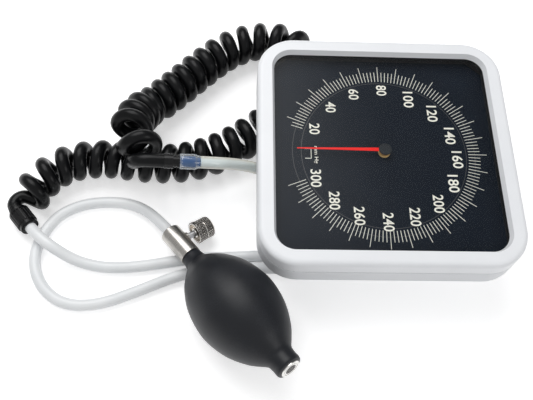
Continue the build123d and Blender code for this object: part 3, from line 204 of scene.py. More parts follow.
def make_camera():
    """The photograph's viewpoint."""
    camera = bpy.data.objects.new("view_camera", bpy.data.cameras.new("view_camera"))
    SCENE.collection.objects.link(camera)
    rotation = Matrix((CAMERA_RIGHT, -CAMERA_DOWN, -CAMERA_AHEAD)).transposed().to_4x4()
    camera.matrix_world = Matrix.Translation(CAMERA_PLACE * MM) @ rotation
    camera.data.sensor_width = SENSOR_WIDTH
    camera.data.lens = SENSOR_WIDTH * FOCAL_PX / IMAGE_WIDTH_PX
    camera.data.clip_start = 0.01
    camera.data.clip_end = 20.0
    SCENE.camera = camera


# Geometry helpers

def link(name, mesh, skin, smooth=True):
    """Put a mesh with its material into the scene, as a piece that rides on the case."""
    piece = bpy.data.objects.new(name, mesh)
    SCENE.collection.objects.link(piece)
    mesh.materials.append(skin)
    for polygon in mesh.polygons:
        polygon.use_smooth = smooth
    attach(piece, "case")
    return piece


def mesh_of(name, vertices, faces):
    """Mesh from lists of vertices, in metres, and of faces."""
    mesh = bpy.data.meshes.new(name)
    mesh.from_pydata([tuple(v) for v in vertices], [], faces)
    mesh.validate()
    mesh.update()
    return mesh


def nurbs(name, points, resolution=24):
    """Curve object along one quadratic spline, in metres."""
    curve = bpy.data.curves.new(name, "CURVE")
    curve.dimensions = "3D"
    spline = curve.splines.new("NURBS")
    spline.points.add(len(points) - 1)
    for target, point in zip(spline.points, points):
        target.co = (*(Vector(point) * MM), 1.0)
    spline.order_u = 3
    spline.use_endpoint_u = True
    spline.resolution_u = resolution
    curve.resolution_u = resolution
    piece = bpy.data.objects.new(name, curve)
    SCENE.collection.objects.link(piece)
    return piece


def spline_points(points, resolution=24):
    """Points along the quadratic spline, in millimetres."""
    guide = nurbs("guide", points, resolution)
    mesh = bpy.data.meshes.new_from_object(guide)
    found = [v.co / MM for v in mesh.vertices]
    bpy.data.objects.remove(guide)
    bpy.data.meshes.remove(mesh)
    return found


def tangents(path):
    """Unit direction at each point of a path."""
    last = len(path) - 1
    return [(path[min(i + 1, last)] - path[max(i - 1, 0)]).normalized() for i in range(last + 1)]


def ring_of(middle, u, v, radius, sides):
    """Vertices of a circle in metres, from millimetres."""
    angles = [2 * math.pi * k / sides for k in range(sides)]
    return [(middle + u * radius * math.cos(a) + v * radius * math.sin(a)) * MM for a in angles]


def ring_faces(rings, sides, base=0):
    """Faces between rings of vertices that follow each other."""
    faces = []
    for i in range(rings - 1):
        for k in range(sides):
            a = base + i * sides + k
            b = base + i * sides + (k + 1) % sides
            faces.append((a, b, b + sides, a + sides))
    return faces


def end_faces(rings, sides):
    """Flat faces over the first and the last ring."""
    last = (rings - 1) * sides
    return [tuple(range(sides))[::-1], tuple(last + k for k in range(sides))]


def rim_faces(rings, sides):
    """Faces between a tube's outside and its bore, at both ends."""
    faces = []
    bore = rings * sides
    for end in (0, (rings - 1) * sides):
        for k in range(sides):
            a, b = end + k, end + (k + 1) % sides
            quad = (a, a + bore, b + bore, b)
            faces.append(quad if end == 0 else quad[::-1])
    return faces


def tube_mesh(name, path, radius_at, sides, bore_at=None):
    """Tube along a path in millimetres, solid with flat ends or hollow with a bore."""
    ways = tangents(path)
    across = ways[0].orthogonal().normalized()
    frames = []
    travelled = 0.0
    for i, (point, way) in enumerate(zip(path, ways)):
        if i:
            travelled += (point - path[i - 1]).length
            across = (across - way * across.dot(way)).normalized()
        frames.append((point, across.copy(), way.cross(across), travelled))
    vertices = []
    for layer in (radius_at, bore_at):
        if layer:
            for point, u, v, s in frames:
                vertices += ring_of(point, u, v, layer(s), sides)
    rings = len(path)
    faces = ring_faces(rings, sides)
    if bore_at:
        faces += [quad[::-1] for quad in ring_faces(rings, sides, rings * sides)]
        faces += rim_faces(rings, sides)
    else:
        faces += end_faces(rings, sides)
    return mesh_of(name, vertices, faces)


def turned_mesh(name, profile, origin, axis, sides):
    """Solid of revolution of (distance, radius) rows along an axis."""
    u = axis.orthogonal().normalized()
    v = axis.cross(u)
    vertices = []
    for distance, radius in profile:
        vertices += ring_of(origin + axis * distance, u, v, radius, sides)
    rings = len(profile)
    return mesh_of(name, vertices, ring_faces(rings, sides) + end_faces(rings, sides))


# Materials, with noise scales per metre

DRIFT_SCALE = 40.0
GLOSS_SCALE = 160.0
GLOSS_SWING = 0.06
GRAIN_STRENGTH = 0.25
METAL_DRIFT_SCALE = 90.0
METAL_MARK_SCALE = 1500.0
LATHE_RINGS = 5000.0
SMEAR_SCALE = 25.0
RIM_BLEND = 0.3
KNURL_DEPTH = 0.00012
# Soft edge of the painted shade in the inlet's recess, as a share of the ramp
RECESS_SHADE_EDGE = 0.005


def material(name, color, roughness, metallic=0.0, **values):
    """Node material with one surface shader."""
    made = bpy.data.materials.new(name)
    made.use_nodes = True
    shader = made.node_tree.nodes["Principled BSDF"]
    shader.inputs["Base Color"].default_value = (*color, 1.0)
    shader.inputs["Roughness"].default_value = roughness
    shader.inputs["Metallic"].default_value = metallic
    for key, value in values.items():
        shader.inputs[key.replace("_", " ")].default_value = value
    return made


def noise(made, scale, detail=4.0):
    """Noise texture in object space, measured in metres."""
    nodes, links = made.node_tree.nodes, made.node_tree.links
    place = nodes.new("ShaderNodeTexCoord")
    texture = nodes.new("ShaderNodeTexNoise")
    texture.inputs["Scale"].default_value = scale
    texture.inputs["Detail"].default_value = detail
    links.new(place.outputs["Object"], texture.inputs["Vector"])
    return texture.outputs["Fac"]


def ramp(made, source, low, high, start=0.3, stop=0.7):
    """Colour ramp between two colours."""
    node = made.node_tree.nodes.new("ShaderNodeValToRGB")
    node.color_ramp.elements[0].position = start
    node.color_ramp.elements[0].color = (*low, 1.0)
    node.color_ramp.elements[1].position = stop
    node.color_ramp.elements[1].color = (*high, 1.0)
    made.node_tree.links.new(source, node.inputs["Fac"])
    return node.outputs["Color"]


def spread(made, source, low, high):
    """Map a 0 to 1 value onto a range."""
    node = made.node_tree.nodes.new("ShaderNodeMapRange")
    node.inputs["To Min"].default_value = low
    node.inputs["To Max"].default_value = high
    made.node_tree.links.new(source, node.inputs["Value"])
    return node.outputs["Result"]


def bump(made, source, strength, distance):
    """Bump the surface by a value."""
    node = made.node_tree.nodes.new("ShaderNodeBump")
    node.inputs["Strength"].default_value = strength
    node.inputs["Distance"].default_value = distance
    made.node_tree.links.new(source, node.inputs["Height"])
    made.node_tree.links.new(node.outputs["Normal"], shader_of(made).inputs["Normal"])


def shader_of(made):
    """The surface shader of a material."""
    return made.node_tree.nodes["Principled BSDF"]


def feed(made, source, socket):
    """Link a value to a shader socket."""
    made.node_tree.links.new(source, shader_of(made).inputs[socket])


def plastic(name, low, high, roughness, grain=900.0, depth=0.00002, **values):
    """Moulded plastic or rubber: slight colour drift, fine grain and uneven gloss."""
    made = material(name, high, roughness, **values)
    feed(made, ramp(made, noise(made, DRIFT_SCALE), low, high), "Base Color")
    gloss = spread(made, noise(made, GLOSS_SCALE), roughness - GLOSS_SWING, roughness + GLOSS_SWING)
    feed(made, gloss, "Roughness")
    if depth:
        bump(made, noise(made, grain, 2.0), GRAIN_STRENGTH, depth)
    return made


def metal(name, low, high, roughness):
    """Metal with fine marks and a slight colour drift."""
    made = material(name, high, roughness, metallic=1.0)
    marks = noise(made, METAL_MARK_SCALE, 3.0)
    feed(made, ramp(made, noise(made, METAL_DRIFT_SCALE), low, high), "Base Color")
    feed(made, spread(made, marks, roughness - 0.08, roughness + 0.10), "Roughness")
    bump(made, marks, 0.15, 0.00001)
    return made


def mixed(made, share, first, second):
    """Mix of two shaders by a share."""
    mix = made.node_tree.nodes.new("ShaderNodeMixShader")
    for source, socket in zip((share, first, second), mix.inputs):
        made.node_tree.links.new(source, socket)
    return mix.outputs["Shader"]


def clear(name, tint, share, roughness, haze=None, haze_share=(0.0, 0.0)):
    """See-through plastic: light passes straight through, with gloss and haze that grow at the rim."""
    made = bpy.data.materials.new(name)
    made.use_nodes = True
    nodes, links = made.node_tree.nodes, made.node_tree.links
    nodes.remove(shader_of(made))
    see = nodes.new("ShaderNodeBsdfTransparent")
    see.inputs["Color"].default_value = (*tint, 1.0)
    gloss = nodes.new("ShaderNodeBsdfGlossy")
    smear = spread(made, noise(made, SMEAR_SCALE), roughness * 0.7, roughness * 1.3)
    links.new(smear, gloss.inputs["Roughness"])
    rim = nodes.new("ShaderNodeLayerWeight")
    rim.inputs["Blend"].default_value = RIM_BLEND
    body = see.outputs["BSDF"]
    if haze:
        milk = nodes.new("ShaderNodeBsdfDiffuse")
        milk.inputs["Color"].default_value = (*haze, 1.0)
        body = mixed(made, spread(made, rim.outputs["Facing"], *haze_share), body, milk.outputs["BSDF"])
    whole = mixed(made, spread(made, rim.outputs["Facing"], *share), body, gloss.outputs["BSDF"])
    links.new(whole, nodes["Material Output"].inputs["Surface"])
    return made


def piece_place(made, origin, axis, across):
    """Coordinates in metres in a piece's own frame, +Z along its axis and +X across."""
    nodes, links = made.node_tree.nodes, made.node_tree.links
    turn = Matrix((across, axis.cross(across), axis))
    place = nodes.new("ShaderNodeTexCoord")
    mapping = nodes.new("ShaderNodeMapping")
    mapping.inputs["Rotation"].default_value = turn.to_euler()
    mapping.inputs["Location"].default_value = turn @ origin * -MM
    links.new(place.outputs["Object"], mapping.inputs["Vector"])
    parts = nodes.new("ShaderNodeSeparateXYZ")
    links.new(mapping.outputs["Vector"], parts.inputs["Vector"])
    return parts.outputs


def sums(made, operation, first, second):
    """One arithmetic step between two values or numbers."""
    node = made.node_tree.nodes.new("ShaderNodeMath")
    node.operation = operation
    for socket, value in zip(node.inputs, (first, second)):
        if isinstance(value, (int, float)):
            socket.default_value = value
        else:
            made.node_tree.links.new(value, socket)
    return node.outputs["Value"]


def turned(name, low, high, roughness, origin, axis, across):
    """Metal with fine lathe rings round its axis."""
    made = material(name, high, roughness, metallic=1.0)
    place = piece_place(made, origin, axis, across)
    rings = made.node_tree.nodes.new("ShaderNodeTexNoise")
    rings.noise_dimensions = "1D"
    rings.inputs["Scale"].default_value = LATHE_RINGS
    made.node_tree.links.new(place["Z"], rings.inputs["W"])
    marks = rings.outputs["Fac"]
    feed(made, ramp(made, marks, low, high), "Base Color")
    feed(made, spread(made, marks, roughness - 0.04, roughness + 0.08), "Roughness")
    return made


def distance_from_axis(made, place):
    """How far a point is from the piece's own axis, in metres."""
    squares = sums(made, "ADD", sums(made, "MULTIPLY", place["X"], place["X"]),
                   sums(made, "MULTIPLY", place["Y"], place["Y"]))
    return sums(made, "SQRT", squares, 0.0)


def knurled(name, low, high):
    """Nickel with a diamond knurl round the knob's axis, with painted shade darkening its grooves, and
    polished ends.
    """
    made = material(name, high, 0.2, metallic=1.0)
    place = piece_place(made, KNOB_PLACE, KNOB_AXIS, BULB_AXIS)
    turn = sums(made, "MULTIPLY", sums(made, "ARCTAN2", place["Y"], place["X"]), KNOB_KNURLS)
    climb = sums(made, "MULTIPLY", place["Z"], KNOB_KNURLS / (KNOB_R * MM))
    one = sums(made, "SINE", sums(made, "ADD", turn, climb), 0.0)
    other = sums(made, "SINE", sums(made, "SUBTRACT", turn, climb), 0.0)
    polished = sums(made, "LESS_THAN", distance_from_axis(made, place), (KNOB_R - KNOB_BEVEL) * MM)
    ridge = sums(made, "MAXIMUM", sums(made, "MINIMUM", one, other), polished)
    # Low colour in the knurl's grooves and high on its ridges and ends: painted shade.
    feed(made, ramp(made, ridge, low, high, start=0.0, stop=0.3), "Base Color")
    feed(made, spread(made, noise(made, 900.0), 0.14, 0.30), "Roughness")
    bump(made, ridge, 0.6, KNURL_DEPTH)
    return made


def recessed(name, bright, dark):
    """Nickel with painted shade in the recess round its axis: dark inside the screen's radius."""
    made = material(name, bright, 0.2, metallic=1.0)
    place = piece_place(made, VALVE_START + BULB_AXIS * (VALVE_LEN + BULB_LEN), BULB_AXIS, KNOB_AXIS)
    share = sums(made, "DIVIDE", distance_from_axis(made, place), 2 * SCREEN_R * MM)
    # Dark colour inside the screen's radius is painted shade of the recess.
    feed(made, ramp(made, share, dark, bright, 0.5 - RECESS_SHADE_EDGE, 0.5 + RECESS_SHADE_EDGE), "Base Color")
    feed(made, spread(made, noise(made, METAL_MARK_SCALE), 0.14, 0.28), "Roughness")
    return made


def dusty(name):
    """Matt black rubber with a faint bloom of dust in patches and fine specks."""
    made = material(name, (0.010, 0.0112, 0.0145), 0.44, Specular_IOR_Level=0.36)
    patches = noise(made, 55.0, 6.0)
    specks = noise(made, 1400.0, 2.0)
    dust = ramp(made, sums(made, "MULTIPLY", patches, specks), (0.0070, 0.0082, 0.0115),
                (0.0130, 0.0148, 0.0195), start=0.22, stop=0.42)
    feed(made, dust, "Base Color")
    feed(made, spread(made, patches, 0.39, 0.49), "Roughness")
    bump(made, specks, 0.12, 0.00002)
    return made


def make_materials():
    """All materials by name."""
    return {
        "white": plastic("case_white", (0.80, 0.815, 0.84), (0.83, 0.845, 0.87), 0.36, grain=1400.0),
        # The rear case is the same white plastic as the front bezel; its darker colour is painted shade
        # of its sides.
        "rear_white_shaded": plastic("rear_white_shaded", (0.69, 0.705, 0.73), (0.73, 0.745, 0.77), 0.42, grain=1100.0),
        "dial": plastic("dial_face", (0.0045, 0.0085, 0.0150), (0.0060, 0.0105, 0.0180), 0.5, depth=0.0,
                        Specular_IOR_Level=0.06),
        "gasket": plastic("gasket_black", (0.010, 0.010, 0.011), (0.016, 0.016, 0.017), 0.6),
        "print": plastic("dial_print", (0.80, 0.78, 0.68), (0.86, 0.84, 0.74), 0.6),
        "print_soft": plastic("dial_print_soft", (0.66, 0.65, 0.58), (0.78, 0.77, 0.69), 0.6),
        "ring": plastic("dial_ring", (0.020, 0.021, 0.023), (0.032, 0.033, 0.036), 0.45),
        "red": plastic("pointer_red", (0.84, 0.006, 0.004), (0.92, 0.012, 0.008), 0.4,
                       Specular_IOR_Level=0.15),
        "cap": plastic("cap_dark", (0.009, 0.012, 0.015), (0.014, 0.018, 0.022), 0.45,
                       Specular_IOR_Level=0.2),
        "hub_brass": plastic("hub_brass", (0.66, 0.42, 0.15), (0.80, 0.56, 0.24), 0.32, metallic=0.6),
        "brass": metal("brass", (0.62, 0.42, 0.16), (0.80, 0.58, 0.26), 0.28),
        "steel": metal("steel", (0.50, 0.50, 0.51), (0.66, 0.66, 0.67), 0.3),
        "nickel": turned("nickel", (0.40, 0.385, 0.36), (0.57, 0.55, 0.52), 0.27,
                         VALVE_START, BULB_AXIS, KNOB_AXIS),
        # The knob's low colour is painted shade in the knurl's grooves.
        "knob": knurled("knob_nickel_groove_shade", (0.12, 0.11, 0.10), (0.86, 0.83, 0.79)),
        # Inlet body: bright nickel, with painted shade in its recess.
        "inlet": recessed("inlet_nickel_recess_shade", (0.70, 0.69, 0.67), (0.05, 0.048, 0.045)),
        # The screen's nickel is made very dark: painted shade of its recessed holes.
        "screen": metal("screen_nickel_shaded", (0.05, 0.047, 0.044), (0.10, 0.095, 0.09), 0.32),
        "hose": plastic("hose_black", (0.0020, 0.0022, 0.0027), (0.0042, 0.0045, 0.0053), 0.30,
                        grain=700.0, Specular_IOR_Level=0.20),
        "fitting": plastic("fitting_black", (0.003, 0.003, 0.0036), (0.006, 0.006, 0.007), 0.26,
                           Specular_IOR_Level=0.30),
        "blue": plastic("barb_blue", (0.014, 0.075, 0.22), (0.026, 0.115, 0.30), 0.3),
        "grey": plastic("tube_grey", (0.76, 0.78, 0.795), (0.84, 0.855, 0.865), 0.34, grain=500.0),
        "bulb": dusty("bulb_rubber"),
        "jewel": plastic("jewel", (0.30, 0.02, 0.05), (0.45, 0.03, 0.08), 0.2),
        "lens": clear("lens_clear", (0.99, 0.995, 1.0), (0.003, 0.05), 0.25),
        "clear": clear("tube_clear", (0.985, 0.995, 0.99), (0.05, 0.40), 0.10, haze=(1.0, 0.98, 0.88),
                       haze_share=(0.38, 1.0)),
        "core": clear("tube_core", (0.88, 0.95, 1.0), (0.02, 0.10), 0.15, haze=(0.74, 0.90, 1.0),
                      haze_share=(0.92, 1.0)),
        # Dark grey line in the case's seam groove: painted shade.
        "seam": plastic("seam_shadow", (0.05, 0.052, 0.055), (0.08, 0.082, 0.085), 0.7),
        "sleeve": clear("tube_sleeve", (0.99, 0.995, 1.0), (0.05, 0.45), 0.08, haze=(0.86, 0.93, 0.98),
                        haze_share=(0.0, 0.60)),
    }


# Cords

def at_distance(table, distance):
    """Value of a table of (distance, value) rows, straight between rows."""
    for (s0, v0), (s1, v1) in zip(table, table[1:]):
        if distance <= s1:
            return v0 + (v1 - v0) * (distance - s0) / (s1 - s0)
    return table[-1][1]


def route_rows():
    """(distance, turns, point) rows along the coiled hose's middle line."""
    points = spline_points(HOSE_ROUTE, ROUTE_RESOLUTION)
    rows = [(0.0, 0.0, points[0])]
    for here in points[1:]:
        distance, turns, before = rows[-1]
        step = (here - before).length
        rows.append((distance + step, turns + step / at_distance(HOSE_PITCH, distance + step / 2), here))
    return rows


def coil_point(rows, turn):
    """Point of the coil at a turn: a circle about the route, square to its level heading."""
    i = next(k for k in range(1, len(rows)) if rows[k][1] >= turn)
    (s0, n0, p0), (s1, n1, p1) = rows[i - 1], rows[i]
    share = (turn - n0) / (n1 - n0)
    centre = p0 + (p1 - p0) * share
    ahead = rows[min(i + 1, len(rows) - 1)][2] - rows[max(i - 2, 0)][2]
    left = Vector((-ahead.y, ahead.x, 0)).normalized()
    angle = -2 * math.pi * (turn + HOSE_PHASE)
    radius = at_distance(HOSE_COIL_R, s0 + (s1 - s0) * share)
    return centre + left * (radius * math.cos(angle)) + Vector((0, 0, radius * math.sin(angle)))


def joined(nodes, reach, steps=10):
    """Smooth line through points with directions, ends included."""
    line = []
    for (p0, d0), (p1, d1) in zip(nodes, nodes[1:]):
        pull = (p1 - p0).length * reach
        for i in range(steps):
            t = i / steps
            line.append(p0 * (2 * t ** 3 - 3 * t ** 2 + 1) + d0 * (pull * (t ** 3 - 2 * t ** 2 + t))
                        + p1 * (3 * t ** 2 - 2 * t ** 3) + d1 * (pull * (t ** 3 - t ** 2)))
    line.append(nodes[-1][0])
    return line


def coil_heading(rows, turn):
    """Direction of the coil at a turn."""
    return (coil_point(rows, turn + TURN_NUDGE) - coil_point(rows, turn - TURN_NUDGE)).normalized()


def lead_path(rows):
    """The hose's line from inside the union nut to its first turn."""
    inside = UNION_CENTRE - UNION_AXIS * UNION_GRIP
    outside = inside - UNION_AXIS * HOSE_STRAIGHT
    straight = [inside.lerp(outside, k / STRAIGHT_STEPS) for k in range(STRAIGHT_STEPS)]
    bend = [(outside, -UNION_AXIS), (HOSE_LEAD, LEAD_HEADING),
            (coil_point(rows, FIRST_TURN), coil_heading(rows, FIRST_TURN))]
    return straight + joined(bend, LEAD_REACH, LEAD_STEPS)[:-1]


def turns_path(rows):
    """The hose's even turns."""
    count = round((LAST_TURN - FIRST_TURN) * STEPS_PER_TURN)
    return [coil_point(rows, FIRST_TURN + k / STEPS_PER_TURN) for k in range(count)]


def fold_path(rows):
    """The hose's loose last turns, and its straight end inside the gauge-end fitting."""
    start = FITTING_START - FITTING_AXIS * HOSE_STRAIGHT
    end = FITTING_START + FITTING_AXIS * HOSE_INSERT
    chain = [coil_point(rows, LAST_TURN)] + [Vector(p) for p in HOSE_FOLD] + [start]
    nodes = [(chain[0], coil_heading(rows, LAST_TURN))]
    for before, here, after in zip(chain, chain[1:], chain[2:]):
        nodes.append((here, (after - before).normalized()))
    nodes.append((start, FITTING_AXIS))
    straight = [start.lerp(end, k / INSERT_STEPS) for k in range(1, INSERT_STEPS + 1)]
    return joined(nodes, FOLD_REACH) + straight


def coil_path():
    """The coiled hose's line from the union nut to the gauge-end fitting."""
    rows = route_rows()
    return lead_path(rows) + turns_path(rows) + fold_path(rows)


def path_length(path):
    """Length of a path."""
    return sum((b - a).length for a, b in zip(path, path[1:]))


def hose_radius(s):
    """Hose radius by distance, with moulded rings on the sleeve next to the union nut."""
    past_nut = s - UNION_SOCKET_LEN
    if 0 < past_nut < HOSE_RINGS * HOSE_RING_STEP:
        return HOSE_D / 2 + HOSE_RING_H * math.sin(math.pi * past_nut / HOSE_RING_STEP) ** 2
    return HOSE_D / 2


def make_coil(mats):
    """The coiled hose."""
    path = coil_path()
    piece = link("coiled_hose", tube_mesh("coiled_hose", path, hose_radius, HOSE_SIDES), mats["hose"])
    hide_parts("coil_hose")


def make_grey(mats):
    """The grey tube from the union nut to the release valve."""
    first = UNION_CENTRE + UNION_AXIS * UNION_GRIP
    last = VALVE_START + BULB_AXIS * VALVE_SOCKET
    points = [first, first + UNION_AXIS * GREY_FIRST_RUN] + GREY_POINTS
    points += [last - BULB_AXIS * GREY_LAST_RUN, last]
    length = path_length(spline_points(points))
    piece = nurbs("bulb_tube", points)
    piece.data.bevel_depth = GREY_R * MM
    piece.data.bevel_resolution = GREY_BEVEL_STEPS
    piece.data.use_fill_caps = True
    piece.data.materials.append(mats["grey"])
    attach(piece, "case")
    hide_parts("grey_tube")


def make_clear(mats):
    """The clear tube from the port to the hose fitting, wider where it goes over the barbs."""
    start = FITTING_START + FITTING_AXIS * NECK_END
    points = [start, start + FITTING_AXIS * CLEAR_FIRST_RUN] + CLEAR_POINTS
    path = spline_points(points, CLEAR_RESOLUTION)
    whole = path_length(path)

    def outer(s):
        """Outside radius along the tube."""
        if s < BARB_LEN or s > whole - PORT_BARB_LEN:
            return CLEAR_SLEEVE_R
        past = min(s - BARB_LEN, whole - PORT_BARB_LEN - s)
        share = min(1.0, past / CLEAR_SLOPE)
        return CLEAR_SLEEVE_R + (CLEAR_R - CLEAR_SLEEVE_R) * share

    def inner(s):
        """Bore radius along the tube, the same wall all along."""
        return outer(s) - (CLEAR_R - CLEAR_BORE_R) + CLEAR_BORE_TRIM

    piece = link("clear_hose", tube_mesh("clear_hose", path, outer, CLEAR_SIDES, inner), mats["clear"])
    piece.data.materials.append(mats["sleeve"])
    piece.data.materials.append(mats["core"])
    outside_faces = (len(path) - 1) * CLEAR_SIDES
    for polygon in piece.data.polygons:
        if (polygon.center / MM - start).dot(FITTING_AXIS) < BARB_LEN + BARB_TIP_LEN:
            polygon.material_index = SLEEVE_SLOT
        elif outside_faces <= polygon.index < 2 * outside_faces:
            polygon.material_index = CORE_SLOT
    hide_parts("clear_tube")


# Bulb

def smooth_rows(rows):
    """Rows with smooth steps between them."""
    points = [Vector((z, r, 0)) for z, r in rows]
    ways = tangents(points)
    return [(p.x, p.y) for p in joined(list(zip(points, ways)), BULB_REACH, BULB_ROW_STEPS)]


def make_bulb(mats):
    """Rubber bulb with its neck and tail collar."""
    origin = VALVE_START + BULB_AXIS * VALVE_LEN
    mesh = turned_mesh("bulb_skin", smooth_rows(BULB_PROFILE), origin, BULB_AXIS, BULB_SIDES)
    piece = link("bulb_skin", mesh, mats["bulb"])
    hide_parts("bulb")


# Dial

def polar(radius, degrees):
    """Point on the dial by radius and angle."""
    return Vector((radius * math.cos(math.radians(degrees)), radius * math.sin(math.radians(degrees)), 0))


def dial_angle(value):
    """Angle of a reading."""
    return ZERO_DEGREES - DEGREES_PER_MM_HG * value


def print_lines(name, lines, width, skin, thick=PRINT_THICK):
    """Thin printed lines on the dial between pairs of points, as one piece."""
    vertices, faces = [], []
    for start, stop in lines:
        side = (stop - start).normalized().cross(Vector((0, 0, 1))) * width / 2
        base = len(vertices)
        for lift in (0.0, thick):
            for corner in (start - side, start + side, stop + side, stop - side):
                vertices.append((corner + Vector((0, 0, DIAL_TOP + lift))) * MM)
        for face in ((4, 5, 6, 7), (3, 2, 1, 0), (0, 1, 5, 4), (1, 2, 6, 5), (2, 3, 7, 6), (3, 0, 4, 7)):
            faces.append(tuple(base + k for k in face))
    link(name, mesh_of(name, vertices, faces), skin, smooth=False)


def make_ticks(mats):
    """Scale marks, longer at every tenth reading."""
    lines = []
    for value in range(SCALE_START, SCALE_TOP + 1, MARK_EVERY):
        outer = MARK_LONG if value % LONG_MARK_EVERY == 0 else MARK_SHORT
        angle = dial_angle(value)
        lines.append((polar(MARK_INNER, angle), polar(outer, angle)))
    print_lines("dial_ticks", lines, MARK_WIDTH, mats["print_soft"])


def make_rings(mats):
    """Faint printed circles inside the marks and between their ends."""
    lines = []
    for radius in DIAL_RINGS:
        for k in range(RING_STEPS):
            lines.append((polar(radius, 360 * k / RING_STEPS), polar(radius, 360 * (k + 1) / RING_STEPS)))
    print_lines("dial_ring", lines, RING_WIDTH, mats["ring"], RING_THICK)


def make_zero_mark(mats):
    """Bracket round the pointer's rest place."""
    near, far, top, low = ZERO_MARK
    ends = (((near, top), (far, top)), ((near, low), (far, low)), ((near, top), (near, low)))
    lines = [(Vector((*start, 0)), Vector((*stop, 0))) for start, stop in ends]
    print_lines("zero_mark", lines, ZERO_MARK_WIDTH, mats["print_soft"])


def text_mesh(words, height, width, centre):
    """Upright text on the dial, as vertices and faces: its top points to +X."""
    curve = bpy.data.curves.new("words", "FONT")
    curve.body = words
    curve.offset = STROKE
    curve.resolution_u = LETTER_RESOLUTION
    holder = bpy.data.objects.new("words", curve)
    SCENE.collection.objects.link(holder)
    mesh = bpy.data.meshes.new_from_object(holder)
    low = Vector((min(v.co.x for v in mesh.vertices), min(v.co.y for v in mesh.vertices)))
    high = Vector((max(v.co.x for v in mesh.vertices), max(v.co.y for v in mesh.vertices)))
    middle = (low + high) / 2
    stretch = (width / (high.x - low.x), height / (high.y - low.y))
    vertices = []
    for v in mesh.vertices:
        across = (v.co.x - middle.x) * stretch[0]
        up = (v.co.y - middle.y) * stretch[1]
        vertices.append(Vector((centre[0] + up, centre[1] - across, DIAL_TOP + PRINT_THICK)) * MM)
    faces = [tuple(p.vertices) for p in mesh.polygons]
    bpy.data.objects.remove(holder)
    bpy.data.meshes.remove(mesh)
    return vertices, faces


def make_numerals(mats):
    """Numerals every 20, all the same way up, just inside the marks, and the unit."""
    words = []
    for value, place in NUMERAL_PLACES.items():
        words.append((str(value), NUMERAL_H, DIGIT_W * len(str(value)) - DIGIT_GAP, place))
    words.append(("mm Hg", UNIT_H, UNIT_W, UNIT_PLACE))
    vertices, faces = [], []
    for text, height, width, place in words:
        part, shapes = text_mesh(text, height, width, place)
        base = len(vertices)
        vertices += part
        faces += [tuple(base + k for k in shape) for shape in shapes]
    link("dial_numerals", mesh_of("dial_numerals", vertices, faces), mats["print"], smooth=False)


# Case

def seam_loop():
    """Points round the case's rounded square, level with the seam."""
    flat = SEAM_HALF - SEAM_CORNER
    loop = []
    for turn, (x, y) in enumerate(((flat, flat), (-flat, flat), (-flat, -flat), (flat, -flat))):
        for k in range(SEAM_STEPS + 1):
            angle = math.pi / 2 * (turn + k / SEAM_STEPS)
            loop.append((x + SEAM_CORNER * math.cos(angle), y + SEAM_CORNER * math.sin(angle)))
    return loop


def make_seam(mats):
    """Thin dark line in the groove where the front meets the rear case: painted shade of the groove."""
    loop = seam_loop()
    section = ((0.0, 0.0), (SEAM_LINE, SEAM_LINE), (2 * SEAM_LINE, 0.0), (SEAM_LINE, -SEAM_LINE))
    vertices = []
    for x, y in loop:
        for inset, height in section:
            share = 1 - inset / SEAM_HALF
            vertices.append(Vector((x * share, y * share, SEAM_Z + height)) * MM)
    sides = len(section)
    faces = []
    for i in range(len(loop)):
        here = sides * i
        ahead = sides * ((i + 1) % len(loop))
        for k in range(sides):
            after = (k + 1) % sides
            faces.append((here + k, here + after, ahead + after, ahead + k))
    link("seam_shade_line", mesh_of("seam_shade_line", vertices, faces), mats["seam"])


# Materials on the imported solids

NODE_MATERIALS = {
    "front_bezel": "white", "rear_case": "rear_white_shaded", "lens": "lens", "lens_gasket": "gasket",
    "dial_plate": "dial", "case_screws": "steel", "mount_inserts": "brass", "tube_port": "brass",
    "port_nut": "brass", "inner_hose": "hose", "capsule_seat": "brass", "capsule": "brass",
    "push_pin": "steel", "rocker_shaft": "steel", "rocker_brackets": "brass", "plate_pillars": "brass",
    "movement_plate": "brass", "bridge_plate": "brass", "bridge_pillars": "brass",
    "bridge_screws": "steel", "staff_jewels": "jewel", "sector_gear": "brass", "sector_arbor": "steel",
    "pointer_staff": "steel", "hairspring": "steel", "hairspring_stud": "brass", "pointer": "red",
    "pointer_hub": "hub_brass", "pointer_cap": "cap", "dial_bushing": "hub_brass",
    "union_body": "fitting", "union_nut": "fitting", "hose_ferrule": "fitting",
    "hose_end_neck": "fitting", "hose_barb": "blue", "valve_body": "nickel", "valve_gland": "nickel",
    "valve_needle": "steel", "valve_knob": "knob", "outlet_flap": "hose", "inlet_valve_body": "inlet",
    "inlet_ball": "steel", "inlet_cage": "brass", "inlet_screen": "screen",
}


def dress_nodes(mats):
    """Give every shown solid its material."""
    for node, name in NODE_MATERIALS.items():
        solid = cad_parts[node]
        solid.data.materials.clear()
        solid.data.materials.append(mats[name])


# Surroundings, in metres and watts

FLOOR_HALF = 6.0
FLOOR_GLOW = 0.44
WORLD_SLOPE = (-0.10, -0.20, 0.14)
WORLD_LEVEL = 0.36

# Each lamp's place, the point it aims at, its side and its power
LAMPS = {
    "key": ((-0.36, 0.58, 1.05), (-0.08, 0.0, 0.0), 0.95, 9.8),
    "fill": ((0.9, -0.7, 0.9), (-0.05, 0.0, 0.0), 0.6, 3.0),
}


def plain_view(made):
    """1 for the camera and for mirror and see-through rays, 0 for the light that falls on things."""
    seen = made.node_tree.nodes.new("ShaderNodeLightPath")
    total = seen.outputs["Is Camera Ray"]
    for name in ("Is Glossy Ray", "Is Transmission Ray"):
        total = sums(made, "MAXIMUM", total, seen.outputs[name])
    return total


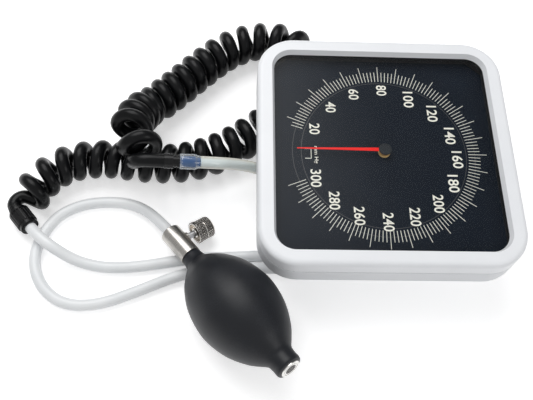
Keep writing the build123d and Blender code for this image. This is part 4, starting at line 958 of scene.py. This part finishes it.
def make_floor():
    """Plain pale floor that keeps the shadows."""
    size = FLOOR_HALF
    corners = [(-size, -size, 0), (size, -size, 0), (size, size, 0), (-size, size, 0)]
    mesh = mesh_of("floor", corners, [(0, 1, 2, 3)])
    floor = bpy.data.objects.new("floor", mesh)
    SCENE.collection.objects.link(floor)
    made = material("floor_white", (0.93, 0.93, 0.935), 0.9)
    nodes, links = made.node_tree.nodes, made.node_tree.links
    glow = nodes.new("ShaderNodeEmission")
    glow.inputs["Strength"].default_value = FLOOR_GLOW
    none = nodes.new("ShaderNodeEmission")
    none.inputs["Strength"].default_value = 0.0
    shown = mixed(made, plain_view(made), none.outputs["Emission"], glow.outputs["Emission"])
    both = nodes.new("ShaderNodeAddShader")
    links.new(shader_of(made).outputs["BSDF"], both.inputs[0])
    links.new(shown, both.inputs[1])
    links.new(both.outputs["Shader"], nodes["Material Output"].inputs["Surface"])
    mesh.materials.append(made)


def area_light(name, place, aim, side, power):
    """Soft square light."""
    data = bpy.data.lights.new(name, "AREA")
    data.shape = "RECTANGLE"
    data.size = side
    data.size_y = side
    data.energy = power
    lamp = bpy.data.objects.new(name, data)
    lamp.location = place
    lamp.rotation_euler = (Vector(aim) - Vector(place)).to_track_quat("-Z", "Y").to_euler()
    SCENE.collection.objects.link(lamp)


def make_light():
    """Pale surroundings, brighter above, in front and to the left, and the lamps."""
    world = bpy.data.worlds.new("studio")
    SCENE.world = world
    world.use_nodes = True
    nodes, links = world.node_tree.nodes, world.node_tree.links
    back = nodes["Background"]
    back.inputs["Color"].default_value = (1.0, 1.0, 1.0, 1.0)
    place = nodes.new("ShaderNodeTexCoord")
    slope = nodes.new("ShaderNodeVectorMath")
    slope.operation = "DOT_PRODUCT"
    slope.inputs[1].default_value = WORLD_SLOPE
    links.new(place.outputs["Generated"], slope.inputs[0])
    links.new(sums(world, "ADD", slope.outputs["Value"], WORLD_LEVEL), back.inputs["Strength"])
    bright = nodes.new("ShaderNodeBackground")
    seen = nodes.new("ShaderNodeLightPath")
    shown = mixed(world, seen.outputs["Is Camera Ray"], back.outputs["Background"],
                  bright.outputs["Background"])
    links.new(shown, nodes["World Output"].inputs["Surface"])
    for name, lamp in LAMPS.items():
        area_light(name, *lamp)


make_camera()
mats = make_materials()
make_clear(mats)
make_coil(mats)
make_grey(mats)
make_bulb(mats)
dress_nodes(mats)
make_rings(mats)
make_ticks(mats)
make_numerals(mats)
make_zero_mark(mats)
make_seam(mats)
make_floor()
make_light()
SCENE.view_settings.view_transform = "Standard"
